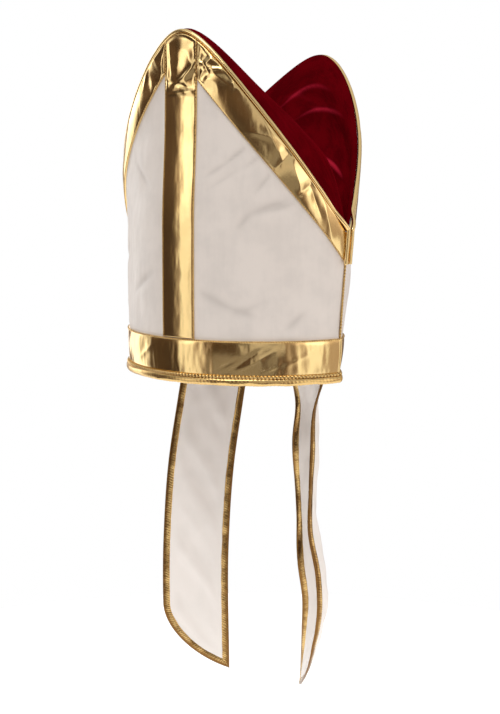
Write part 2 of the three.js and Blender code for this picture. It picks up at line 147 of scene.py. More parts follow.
# How the lappets hang, from the rim (0) to the tip (1). Shifts are shares of the lappet's width, turn
# and curl are in radians, and the first row takes the curl of the rim that the lappet is sewn to.
LAPPET_HANG = {
    LEFT: [
        {"drop": 0, "shift_x": 0, "shift_y": 0, "turn": 0, "curl": None},
        {"drop": 0.13, "shift_x": -0.09, "shift_y": -0.05, "turn": 0.05, "curl": 0.35},
        {"drop": 0.32, "shift_x": -0.2, "shift_y": -0.13, "turn": 0.1, "curl": 0.22},
        {"drop": 0.58, "shift_x": -0.28, "shift_y": -0.17, "turn": 0.12, "curl": 0.16},
        {"drop": 1, "shift_x": -0.27, "shift_y": -0.18, "turn": 0.15, "curl": 0.2},
    ],
    RIGHT: [
        {"drop": 0, "shift_x": 0, "shift_y": 0, "turn": 0, "curl": None},
        {"drop": 0.11, "shift_x": 0.03, "shift_y": 0.08, "turn": -0.27, "curl": 1.39},
        {"drop": 0.22, "shift_x": 0.07, "shift_y": 0.08, "turn": -0.22, "curl": 2.16},
        {"drop": 0.34, "shift_x": 0.04, "shift_y": 0.06, "turn": -0.31, "curl": 1.62},
        {"drop": 0.45, "shift_x": 0.07, "shift_y": 0.07, "turn": -0.35, "curl": 1.8},
        {"drop": 0.59, "shift_x": 0.16, "shift_y": 0.14, "turn": -0.2, "curl": 2.44},
        {"drop": 0.7, "shift_x": 0.17, "shift_y": 0.18, "turn": -0.28, "curl": 2.2},
        {"drop": 0.82, "shift_x": 0, "shift_y": 0.21, "turn": -0.4, "curl": 1.34},
        {"drop": 1, "shift_x": -0.33, "shift_y": 0.17, "turn": -0.73, "curl": 0.3},
    ],
}

# Creases in the satin, in millimetres on the cut panel: x runs round it from the middle and y up from the
# rim.
PANEL_CREASES = {
    FRONT: [
        Crease(84, 150, 108, 158, 3.2, -1.2),
        Crease(26, 166, 60, 188, 2.4, -0.8),
        Crease(50, 60, 84, 74, 4.4, -0.9),
        Crease(26, 179, 46, 191, 2.5, -1.4),
        Crease(44, 190, 64, 206, 2.2, -1.8),
        Crease(62, 187, 76, 198, 1.8, -1.2),
        Crease(72, 166, 86, 184, 2.2, -1.6),
        Crease(56, 134, 68, 149, 3.6, -1.6),
        Crease(66, 147, 100, 160, 4.3, -2),
        Crease(20, 81, 52, 66, 5, -1.8),
        Crease(48, 68, 74, 59, 4.3, -1.4),
        Crease(98, 47, 117, 64, 4.3, -1.6),
        Crease(-40, 170, -64, 190, 2.9, -1.4),
        Crease(-30, 96, -70, 74, 5, -1.6),
        Crease(-88, 120, -118, 96, 4.3, -1.4),
    ],
    BACK: [
        Crease(30, 176, 62, 196, 2.9, -1.6),
        Crease(66, 120, 98, 142, 4.3, -1.8),
        Crease(24, 88, 70, 62, 5, -1.6),
        Crease(-28, 182, -58, 166, 2.9, -1.6),
        Crease(-44, 120, -92, 140, 4.3, -1.8),
        Crease(-26, 60, -76, 84, 5, -1.6),
        Crease(-90, 62, -116, 50, 3.6, -1.2),
    ],
}

# Creases in the gold cloth, in millimetres as above. They cross the slanted and the rim bands.
GOLD_CREASES = {
    FRONT: [
        Crease(36, 12, 58, 24, 1.6, -0.35),
        Crease(48, 11, 78, 33, 2, -0.5),
        Crease(56, 12, 90, 31, 1.8, 0.4),
        Crease(74, 10, 98, 20, 2.2, -0.4),
        Crease(96, 16, 122, 29, 2.4, 0.35),
        Crease(-58, 14, -30, 31, 2.6, 0.5),
        Crease(-86, 12, -78, 34, 4, 0.6),
        Crease(66, 218, 88, 212, 3, 0.7),
        Crease(78, 226, 96, 190, 5, 1.5),
        Crease(86, 184, 106, 206, 5.5, -1.7),
        Crease(102, 194, 112, 164, 5, 1.4),
        Crease(108, 164, 122, 176, 3.5, -1),
        Crease(118, 174, 130, 144, 4.5, -1.3),
        Crease(132, 156, 140, 126, 4, 1),
        Crease(20, 268, 36, 284, 3, 1),
        Crease(20, 282, 30, 266, 2.4, -0.9),
        Crease(-14, 262, 14, 254, 2, -1),
        Crease(-10, 254, 14, 270, 2.2, 1),
        Crease(-14, 250, 16, 252, 1.8, 0.9),
        Crease(-13, 292, -9, 262, 3.5, -0.9),
        Crease(2, 262, 15, 274, 3, 1.2),
    ],
    BACK: [
        Crease(-14, 244, 14, 250, 2, -0.9),
        Crease(8, 280, -6, 256, 3, 0.9),
        Crease(40, 236, 58, 222, 3, -0.8),
        Crease(-52, 232, -72, 206, 3, 0.8),
        Crease(98, 190, 112, 162, 3.5, 0.8),
        Crease(-40, 14, -20, 32, 2.6, -0.6),
        Crease(60, 12, 84, 28, 2.4, 0.6),
    ],
}

# Rows of stitches in millimetres: the radius of a bead and the pitch from bead to bead.
STITCHES = {
    "centre_band": {"radius": 0.75, "pitch": 2.9},
    "edge_band": {"radius": 0.5, "pitch": 2.4},
    "rim_top": {"radius": 0.85, "pitch": 2.3},
    "rim_end": {"radius": 0.6, "pitch": 2.6},
}

# Seeds of what is uneven. Each piece adds its side or hand, and layers of one cloth take the next ones.
SEEDS = {
    "satin_ripple": 11,
    "satin_slack": 21,
    "satin_crush": 27,
    "velvet_dents": 31,
    "velvet_light": 33,
    "lappet_folds": 40,
    "gold": 60,
    "rim_roll": 81,
    "piping": 91,
    "binding_dents": 101,
    "binding_wander": 105,
    "binding_depth": 109,
}


# Settings


def metres(name, description, default):
    """A length that a user can set, in metres."""
    return bpy.props.FloatProperty(
        name=name, description=description, default=default, min=0, unit="LENGTH", subtype="DISTANCE"
    )


def number(name, description, default, low=0.0, high=1.0):
    """A plain number that a user can set."""
    return bpy.props.FloatProperty(name=name, description=description, default=default, min=low, max=high)


def colour(name, description, default):
    """A colour that a user can set, in linear red, green and blue."""
    return bpy.props.FloatVectorProperty(
        name=name, description=description, default=default, size=3, min=0, max=1, subtype="COLOR"
    )


def turn(name, description, degrees):
    """An angle that a user can set."""
    return bpy.props.FloatProperty(
        name=name, description=description, default=math.radians(degrees), unit="ROTATION", subtype="ANGLE"
    )


class MitreBody(bpy.types.PropertyGroup):
    """Sizes of the two satin panels."""

    rim_half_width: metres("Rim half width", "From the head's middle to a side seam", 113.3 * MM)
    notch_height: metres("Notch height", "Height of the two side notches above the rim", 134.4 * MM)
    front_height: metres("Front height", "Height of the front horn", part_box("front_edge_piping")[1].z)
    back_height: metres("Back height", "Height of the back horn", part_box("back_edge_piping")[1].z)
    front_depth: metres("Front depth", "How far the front panel bows out at the rim", 79.6 * MM)
    back_depth: metres("Back depth", "How far the back panel bows out at the rim", 62 * MM)
    horn_rounding: metres("Horn rounding", "Rounding of the two peaks", 39.7 * MM)
    wall: metres("Panel thickness", "Thickness of a padded satin panel", 2.4 * MM)
    hem: metres("Hem", "Height of a panel's lower edge", 1 * MM)
    seam_gap: metres("Seam gap", "Gap between two cut edges that meet", 0.4 * MM)
    pucker: metres("Pucker", "Height of the small gathers along the sewn edges", 0.22 * MM)
    crush: metres("Crush", "Height of the crushed streaks in the left part of the satin", 0.5 * MM)


class MitreTrim(bpy.types.PropertyGroup):
    """Sizes of the gold bands, bindings and piping."""

    thickness: metres("Band thickness", "How far a gold band stands off the satin", 1.6 * MM)
    rounding: metres("Band edge rounding", "Rounding of a band's folded edges", 1.1 * MM)
    centre_width: metres("Centre band width", "Width of the upright bands", 34 * MM)
    edge_at_middle: metres("Slanted band at the middle", "Its upright width at the peak", 37 * MM)
    edge_at_seam: metres("Slanted band at the seam", "Its upright width at the notch", 30.4 * MM)
    slim_at_middle: metres("Slim band at the middle", "The front horn's left band at the peak", 31 * MM)
    slim_at_seam: metres("Slim band at the seam", "The front horn's left band at the notch", 21 * MM)
    rim_top: metres("Rim band top", "Height of the rim band's upper edge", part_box("front_rim_band")[1].z)
    binding_height: metres("Rim binding height", "Height of the rolled lower edge", 8.5 * MM)
    binding_thickness: metres("Rim binding thickness", "Thickness of the rolled lower edge", 4.2 * MM)
    binding_gap: metres("Rim binding gap", "How far the rolled edge stands off the panel", 0.6 * MM)
    rib_pitch: metres("Rib pitch", "Distance between the slanted ribs of the bindings", 3.3 * MM)
    rib_height: metres("Rib height", "Height of the slanted ribs of the bindings", 0.3 * MM)
    piping: metres("Piping radius", "Radius of the rolled edges of the horns", 1.8 * MM)
    seam_cord: metres("Seam cord radius", "Radius of the cords in the side seams", 1.1 * MM)
    crumple: metres("Crumple", "Height of the gold cloth's wrinkles", 0.3 * MM)
    ribbing: metres("Ribbing", "Height of the fine upright ribs in the gold cloth", 0.1 * MM)
    puff: metres("Puff", "How far the middle of a band stands up over its sewn edges", 0.9 * MM)
    centre_puff: metres("Centre puff", "The same on the upright bands", 0.45 * MM)
    peak_crumple: metres("Peak crumple", "Height of the facets where the bands meet at a peak", 1.5 * MM)
    least: metres("Least thickness", "How far the gold cloth stands off the satin at least", 0.4 * MM)


class MitreVelvet(bpy.types.PropertyGroup):
    """Sizes of the velvet crown."""

    wall: metres("Velvet thickness", "Thickness of the velvet", 2 * MM)
    bulge: metres("Bulge", "How far the near half stands up", 29 * MM)
    hollow: metres("Hollow", "How far the far half hangs in", 10 * MM)
    lip: metres("Lip", "How far the velvet rolls over the back edge", 4 * MM)
    valley_rise: metres("Valley rise", "Height of the valley's middle over its ends", 40 * MM)
    valley_drop: metres("Valley drop", "How far the valley's ends lie under the notches", 2 * MM)
    fold_height: metres("Fold height", "Height of the folds on the far half", 4 * MM)
    valley_along: number("Valley place", "Where the valley lies between front and back edge", 0.55)
    bulge_fade: number("Bulge fade", "How much the bulge fades towards the valley", 0.35)
    lip_start: number("Lip start", "Where the lip starts on the far half", 0.72)
    reach: number("Reach", "How far out to the notches the velvet goes", 0.995)
    tuck: metres("Tuck", "How far the velvet's edge is pulled out under the piping", 1.1 * MM)


class MitreLappets(bpy.types.PropertyGroup):
    """Sizes of the two lappets."""

    width: metres("Width", "Width of a lappet, binding included", 65 * MM)
    length: metres("Length", "Length of a lappet as cut", 330 * MM)
    place: metres("Place", "Along the rim, from the middle of the back to a lappet's middle", 58 * MM)
    wall: metres("Thickness", "Thickness of the satin", 1.2 * MM)
    rounding: metres("Rounding", "Height of the rounded lower corner", 48 * MM)
    slant: metres("Slant", "How much lower the tip is than the rounded corner's start", 18 * MM)
    binding_width: metres("Binding width", "Width of the gold edge", 7.4 * MM)
    binding_thickness: metres("Binding thickness", "Thickness of the gold edge", 3 * MM)
    left_sewn: metres("Left sewn height", "How far up the left lappet is sewn in", 22 * MM)
    right_sewn: metres("Right sewn height", "How far up the right lappet is sewn in", 8 * MM)
    fold: metres("Fold", "Height of the soft folds down a lappet", 1.5 * MM)
    rib_pitch: metres("Rib pitch", "Distance between the slanted ribs of a lappet's binding", 2.4 * MM)


class MitreColours(bpy.types.PropertyGroup):
    """Colours of the cloths."""

    # Painted light: these two are lighter copies of the satin colours, standing in for the extra light on the
    # thin lappets.
    lappet: colour("Lappet satin", "The thin satin of the lappets", (0.96, 0.90, 0.85))
    lappet_shade: colour("Lappet shade", "The lappets where they are a little darker", (0.93, 0.875, 0.825))
    satin: colour("Satin", "The white satin", (0.835, 0.763, 0.705))
    # On the lappets this colour is also the painted shade in the valleys of their folds.
    satin_shade: colour("Satin shade", "The satin where it is a little darker", (0.77, 0.705, 0.652))
    # Painted shade: the satin darkens to this colour in its creases, standing in for the shade there.
    satin_crease_shade: colour("Satin crease", "The satin down in its creases", (0.68, 0.62, 0.572))
    velvet: colour("Velvet", "The crimson velvet", (0.125, 0.0007, 0.0034))
    velvet_shade: colour("Velvet shade", "The velvet where its pile is pressed", (0.08, 0.0005, 0.0024))
    # Painted sheen: the velvet lightened on its fold crests and near half, standing in for the light that
    # catches there.
    velvet_painted_sheen: colour("Velvet crest", "The velvet where its pile is brushed up", (0.44, 0.014, 0.035))
    velvet_sheen: colour("Velvet sheen", "The light edge of the pile", (0.9, 0.03, 0.045))
    gold: colour("Gold", "The gold cloth", (0.88, 0.65, 0.31))
    gold_deep: colour("Deep gold", "The gold cloth where it is a little deeper", (0.82, 0.58, 0.25))
    thread: colour("Gold thread", "The gold of bindings and stitches", (0.74, 0.50, 0.20))
    # Painted shade: the thread darkens to this colour between ribs and beads and on a lappet binding's
    # outside; random patches darken it too.
    thread_patch_and_gap_shade: colour("Thread gaps", "The gold down between ribs and stitches", (0.22, 0.11, 0.032))
    floor: colour("Floor", "The pale floor", (0.9, 0.9, 0.9))


class MitreStage(bpy.types.PropertyGroup):
    """The camera and the floor."""

    camera_azimuth: turn("Camera azimuth", "How far the camera stands round to the right of the front", 36.19)
    camera_pitch: turn("Camera pitch", "How far the camera looks down", 7.79)
    camera_distance: metres("Camera distance", "From the camera to the head opening", 1385.56 * MM)
    focal_pixels: number("Focal length in pixels", "Focal length in pixels of the image", 1500, 1, 10000)
    origin_x: number("Origin across", "Pixel column of the head opening's middle", 233.78, 0, IMAGE_WIDTH)
    origin_y: number("Origin down", "Pixel row of the head opening's middle", 371.31, 0, IMAGE_HEIGHT)
    floor_height: metres("Floor distance", "How far the floor lies under the lappets", 130 * MM)
    floor_radius: metres("Floor radius", "Radius of the floor", 800 * MM)


class Mitre(bpy.types.PropertyGroup):
    """All settings of the mitre."""

    body: bpy.props.PointerProperty(type=MitreBody, name="Body", description="Sizes of the panels")
    trim: bpy.props.PointerProperty(type=MitreTrim, name="Trim", description="Sizes of the gold trim")
    velvet: bpy.props.PointerProperty(type=MitreVelvet, name="Velvet", description="Sizes of the crown")
    lappets: bpy.props.PointerProperty(type=MitreLappets, name="Lappets", description="Sizes of the lappets")
    colours: bpy.props.PointerProperty(type=MitreColours, name="Colours", description="Colours of the cloths")
    stage: bpy.props.PointerProperty(type=MitreStage, name="Stage", description="Camera, floor and lights")


# Curves, noise and creases


def mix(a, b, t):
    """A point t of the way from a to b."""
    return a + (b - a) * t


def smoothstep(low, high, x):
    """0 below low, 1 above high and smooth in between."""
    t = np.clip((x - low) / (high - low), 0, 1)
    return t * t * (3 - 2 * t)


def column(rows, key, name, x):
    """A smooth curve through one column of a table. A row at level 1 keeps the slope from below it, so
    that the horns don't bend the panels under the notches."""
    places = np.array([row[key] for row in rows], float)
    values = np.array([row[name] for row in rows], float)
    gaps = np.diff(places)
    steps = np.diff(values) / gaps
    inner = (steps[:-1] * gaps[1:] + steps[1:] * gaps[:-1]) / (gaps[:-1] + gaps[1:])
    if key == "level":
        inner = np.where(places[1:-1] == 1, steps[:-1], inner)
    slopes = np.concatenate([steps[:1], inner, steps[-1:]])
    x = np.asarray(x, float)
    i = np.searchsorted(places[1:-1], x, side="left")
    h = gaps[i]
    t = (x - places[i]) / h
    rest = 1 - t
    ends = values[i] * (1 + 2 * t) * rest**2 + values[i + 1] * t**2 * (3 - 2 * t)
    return ends + h * t * rest * (slopes[i] * rest - slopes[i + 1] * t)


NOISE_CELLS = 64


def smooth_noise(x, y, seed):
    """Smooth values from -1 to 1, different from cell to cell of a unit grid."""
    corners = np.random.default_rng(seed).uniform(-1, 1, (NOISE_CELLS, NOISE_CELLS))
    i, j = np.floor(x).astype(int), np.floor(y).astype(int)
    a, b = smoothstep(0, 1, x - i), smoothstep(0, 1, y - j)

    def corner(di, dj):
        return corners[(i + di) % NOISE_CELLS, (j + dj) % NOISE_CELLS]

    return mix(mix(corner(0, 0), corner(1, 0), a), mix(corner(0, 1), corner(1, 1), a), b)


def soft_waves(x, y, length, seed):
    """Soft unevenness from -1 to 1, with hills about length apart."""
    coarse = smooth_noise(x / length, y / length, seed)
    fine = smooth_noise(2.1 * x / length + 7.3, 2.1 * y / length + 3.1, seed + 1)
    return (2 * coarse + fine) / 3


def crumples(x, y, length, seed):
    """Creased foil from -1 to 1: sharp ridges about length apart, with flatter cloth in between."""
    bend_x = x + 0.35 * length * smooth_noise(x / length, y / length, seed)
    bend_y = y + 0.35 * length * smooth_noise(x / length + 5.7, y / length, seed + 1)
    coarse = np.abs(smooth_noise(bend_x / length, bend_y / length, seed + 2))
    fine = np.abs(smooth_noise(2.3 * bend_x / length, 2.3 * bend_y / length, seed + 3))
    return 1 - 2.2 * coarse - 0.8 * fine


def crease_field(creases, s, z):
    """Height of the creases of a table at arc length s and height z."""
    total = np.zeros(np.broadcast(s, z).shape)
    for crease in creases:
        t, away = crease.near(s / MM, z / MM)
        fade = np.sin(math.pi * np.clip(0.06 + 0.88 * t, 0, 1))
        total += crease.height * MM * fade * (0.6 * np.exp(-(away**2)) + 0.4 * np.exp(-2.2 * away))
    return total


# The shape of the cloth, as in the frame


class PanelShape:
    """The outer face of one panel: s runs round it from the middle and z up, both in metres."""

    def __init__(self, mitre, side):
        self.side = side
        self.body = mitre.body
        self.height = self.body.front_height if side == FRONT else self.body.back_height
        self.depth = self.body.front_depth if side == FRONT else self.body.back_depth
        self.notch_arc = float(self.section(self.body.notch_height).arc)
        self.piping_inset = 2 * mitre.trim.piping + self.body.seam_gap

    def section(self, z):
        """The arc at height z: its radius, the y of its centre and the length from middle to seam."""
        z = np.asarray(z, float)
        notch = self.body.notch_height
        level = np.where(z < notch, z / notch, 1 + (z - notch) / (self.height - notch))
        rows = PANEL_SECTIONS[self.side]
        half_width = self.body.rim_half_width * column(rows, "level", "width", level)
        seam_y = self.body.rim_half_width * column(rows, "level", "shift", level)
        bow = self.depth * column(rows, "level", "depth", level)
        radius = (half_width**2 + bow**2) / (2 * bow)
        centre_y = seam_y + self.side * (bow - radius)
        arc = 2 * np.arctan(bow / half_width) * radius
        return SimpleNamespace(
            half_width=half_width, seam_y=seam_y, radius=radius, centre_y=centre_y, arc=arc
        )

    def at(self, s, z, out=0.0):
        """The point at arc length s and height z, moved outwards."""
        s, z, out = np.broadcast_arrays(s, z, out)
        section = self.section(z)
        angle = s / section.radius
        reach = section.radius + out
        return np.stack([reach * np.sin(angle), section.centre_y + self.side * reach * np.cos(angle), z], -1)

    def outwards(self, s, z):
        """The unit vector that faces out of the panel."""
        step = 1 * MM
        return unit(self.at(s, z, step) - self.at(s, z, 0.0))

    def edge_height(self, s, inset):
        """Height of the horn's edge: two straight lines on the cut cloth, rounded at the peak."""
        rounding = self.body.horn_rounding
        rise = self.height + rounding - self.body.notch_height
        steep = math.sqrt(rise**2 - rounding**2) / self.notch_arc
        slant = np.hypot(steep * s, rounding)
        slope = steep**2 * s / slant
        return self.height + rounding - slant - inset * np.hypot(1, slope)

    def piping_foot(self, s):
        """Height up to which the cloth reaches, where the piping starts."""
        return self.edge_height(s, self.piping_inset)

    def seam_share(self, u, z, out):
        """Arc length at a share u of the way from the middle to the seam, mitred at the seam."""
        section = self.section(np.minimum(z, self.body.notch_height))
        return u * (section.arc - self.body.seam_gap / 2 + out / np.tan(section.arc / section.radius))


class LappetShape:
    """The middle surface of one lappet: w runs across it, d down it, both in metres."""

    def __init__(self, mitre, hand):
        self.hand = hand
        self.size = mitre.lappets
        self.sewn = self.size.left_sewn if hand == LEFT else self.size.right_sewn
        self.back = PanelShape(mitre, BACK)
        self.inwards = -(mitre.body.wall + mitre.body.seam_gap + self.size.binding_thickness / 2)
        rim = self.back.section(0.0)
        self.radius = float(rim.radius) + self.inwards
        self.angle = hand * self.size.place / float(rim.radius)
        self.middle_x = self.radius * math.sin(self.angle)
        self.middle_y = float(rim.centre_y) + self.radius * math.cos(self.angle)
        curl = self.size.width / self.radius
        self.rows = [{**row, "curl": row["curl"] or curl} for row in LAPPET_HANG[hand]]

    def at(self, w, d):
        """The point at w across and d down the cut cloth."""
        w, d = np.broadcast_arrays(np.asarray(w, float), np.asarray(d, float))
        z = self.sewn - d
        above = np.maximum(z, 0)
        wall_radius = self.back.section(above).radius
        round_s = self.hand * self.size.place + w * wall_radius / (wall_radius + self.inwards)
        sewn_in = self.back.at(round_s, above, self.inwards)
        drop = np.maximum(-z, 0) / (self.size.length - self.sewn)
        heading = column(self.rows, "drop", "turn", drop) - self.angle
        bend = self.size.width / column(self.rows, "drop", "curl", drop)
        across, forward = bend * np.sin(w / bend), bend * (1 - np.cos(w / bend))
        x = self.middle_x + self.size.width * column(self.rows, "drop", "shift_x", drop)
        y = self.middle_y + self.size.width * column(self.rows, "drop", "shift_y", drop)
        hanging = np.stack(
            [
                x + across * np.cos(heading) + forward * np.sin(heading),
                y + across * np.sin(heading) - forward * np.cos(heading),
                z,
            ],
            -1,
        )
        return np.where((z > 0)[..., None], sewn_in, hanging)

    def facing(self, w, d):
        """The unit vector off the cloth's face."""
        step = 0.5 * MM
        along_w = self.at(w + step, d) - self.at(w - step, d)
        along_d = self.at(w, d + step) - self.at(w, d - step)
        return unit(np.cross(along_w, along_d))

    def end_depth(self, w, inset):
        """Depth of the rounded end at w across, moved in by an inset."""
        half = self.size.width / 2 - inset
        sine = np.clip((1 + self.hand * w / half) / 2, 0, 1)
        rounding = self.size.rounding
        return self.size.length - inset - self.size.slant * sine - rounding * (1 - np.sqrt(1 - sine**2))

    def folds(self, w, d):
        """Height of the soft folds down the cloth."""
        seed = SEEDS["lappet_folds"] + self.hand
        diagonal = (d + 1.4 * self.hand * w) / (58 * MM)
        waves = 0.6 * np.sin(2 * math.pi * diagonal + self.hand) + 0.5 * np.sin(3.3 * math.pi * diagonal + 2)
        return self.size.fold * (0.6 * waves + 0.7 * soft_waves(w, d, 26 * MM, seed))


def unit(vectors):
    """The vectors at length 1."""
    return vectors / np.linalg.norm(vectors, axis=-1, keepdims=True)


def grid_normals(points):
    """Unit normals of a grid of points."""
    return unit(np.cross(np.gradient(points, axis=0), np.gradient(points, axis=1)))


# Meshes


def grid_faces(columns, rows, first=0):
    """Quads of a grid of points, counted up each column."""
    i, j = np.meshgrid(np.arange(columns - 1), np.arange(rows - 1), indexing="ij")
    corner = (first + i * rows + j).ravel()
    return np.stack([corner, corner + rows, corner + rows + 1, corner + 1], -1)


def facing_out(points, faces):
    """The quads, turned round if the surface faces inwards."""
    a, b, c, d = (points[faces[:, k]] for k in range(4))
    volume = np.sum(a * np.cross(b, c)) + np.sum(a * np.cross(c, d))
    return faces if volume > 0 else faces[:, ::-1]


def make_piece(name, points, faces, places, material, nodes=(), shade=None):
    """A piece that rides on the frame, from points, quads and each point's place on the cut cloth.

    shade is a number for each point that its material reads to paint light and shade into its colour:
    how deep satin lies in a crease, or how far a rib or a fold stands up to the light. 0 is none and 1 is
    full."""
    faces = facing_out(points, faces)
    mesh = bpy.data.meshes.new(name)
    mesh.from_pydata(points.tolist(), [], faces.tolist())
    layer = mesh.uv_layers.new(name=PATTERN)
    layer.uv.foreach_set("vector", places[faces.ravel()].astype(np.float32).ravel())
    mesh.polygons.foreach_set("use_smooth", np.ones(len(faces), bool))
    if shade is not None:
        layer = mesh.attributes.new(SHADE, "FLOAT", "POINT")
        layer.data.foreach_set("value", shade.astype(np.float32).ravel())
    mesh.materials.append(material)
    piece = bpy.data.objects.new(name, mesh)
    bpy.context.scene.collection.objects.link(piece)
    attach(piece, BODY)
    if nodes:
        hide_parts(*nodes)
    return piece


def make_wall(name, outer, inner, places, material, nodes, shade):
    """A closed cloth wall between two grids of points."""
    columns, rows = outer.shape[:2]
    layer = columns * rows
    points = np.concatenate([outer.reshape(-1, 3), inner.reshape(-1, 3)])
    front = grid_faces(columns, rows)
    back = grid_faces(columns, rows, layer)[:, ::-1]
    index = np.arange(layer).reshape(columns, rows)
    border = np.concatenate([index[:, 0], index[-1, 1:], index[-2::-1, -1], index[0, -2:0:-1]])
    following = np.roll(border, -1)
    sides = np.stack([following, border, border + layer, following + layer], -1)
    faces = np.concatenate([front, back, sides])
    places = np.concatenate([places.reshape(-1, 2)] * 2)
    shade = np.concatenate([shade.ravel()] * 2)
    return make_piece(name, points, faces, places, material, nodes, shade)


def make_tube(name, rings, along, material, nodes=(), shade=None):
    """A closed tube through rings of points, with its pattern along and round it."""
    count, sides = rings.shape[:2]
    girth = float(np.linalg.norm(np.diff(rings[count // 2], axis=0), axis=-1).sum())
    points = np.concatenate([rings, rings[:, :1]], axis=1)
    around = np.linspace(0, girth, sides + 1)
    places = np.stack(np.broadcast_arrays(along[:, None], around[None, :]), -1)
    caps = np.repeat(points[[0, -1]].mean(axis=1, keepdims=True), sides + 1, axis=1)
    points = np.concatenate([caps[:1], points, caps[1:]]).reshape(-1, 3)
    places = np.concatenate([places[:1], places, places[-1:]]).reshape(-1, 2)
    if shade is not None:
        shade = np.concatenate([shade, shade[:, :1]], axis=1)
        shade = np.concatenate([shade[:1], shade, shade[-1:]])
    faces = grid_faces(count + 2, sides + 1)
    piece = make_piece(name, points, faces, places, material, nodes, shade)
    weld(piece)
    return piece


def weld(piece):
    """Joins a tube's two seam columns and the points of its caps."""
    mesh = bmesh.new()
    mesh.from_mesh(piece.data)
    bmesh.ops.remove_doubles(mesh, verts=mesh.verts, dist=1e-7)
    mesh.to_mesh(piece.data)
    mesh.free()


def evenly(points, normals, spacing):
    """A path's points and outward vectors, taken at equal distances, with the length along it."""
    lengths = np.concatenate([[0], np.cumsum(np.linalg.norm(np.diff(points, axis=0), axis=-1))])
    along = np.linspace(0, lengths[-1], max(2, round(lengths[-1] / spacing)))

    def taken(values):
        return np.stack([np.interp(along, lengths, values[:, k]) for k in range(3)], -1)

    return taken(points), unit(taken(normals)), along


def cord_rings(points, normals, radius, sides):
    """Rings round a path. The radius is a number or an array with a value for each ring and side."""
    forward = unit(np.gradient(points, axis=0))
    across = unit(np.cross(forward, normals))
    up = np.cross(across, forward)
    angle = 2 * math.pi * np.arange(sides) / sides
    radius = np.broadcast_to(radius, (len(points), sides))[..., None]
    rise = radius * np.cos(angle)[None, :, None]
    side = radius * np.sin(angle)[None, :, None]
    return points[:, None] + rise * up[:, None] + side * across[:, None]


def ribs(phase):
    """Round ribs from 0 in the gaps to 1 at the crests, once in each turn of the phase."""
    return (0.5 + 0.5 * np.cos(2 * math.pi * phase)) ** 0.7


def make_stitches(name, points, normals, radius, pitch, material):
    """A row of gold stitches: a slender cord whose beads lie aslant, pitch apart."""
    sides, rings_in_bead = 8, 8
    points, normals, along = evenly(points, normals, pitch / rings_in_bead)
    crests = ribs(along[:, None] / pitch - np.arange(sides)[None, :] / sides)
    beads = radius * (0.66 + 0.42 * crests)
    rings = cord_rings(points, normals, beads, sides)
    # The crests paint shade between the beads.
    return make_tube(name, rings, along, material, (), crests)


# Materials


class Value:
    """A number socket of a material. Arithmetic on it adds Math nodes."""

    def __init__(self, graph, socket):
        self.graph = graph
        self.socket = socket

    def __add__(self, other):
        return self.graph.math("ADD", self, other)

    def __radd__(self, other):
        return self.graph.math("ADD", other, self)

    def __sub__(self, other):
        return self.graph.math("SUBTRACT", self, other)

    def __rsub__(self, other):
        return self.graph.math("SUBTRACT", other, self)

    def __mul__(self, other):
        return self.graph.math("MULTIPLY", self, other)

    def __rmul__(self, other):
        return self.graph.math("MULTIPLY", other, self)


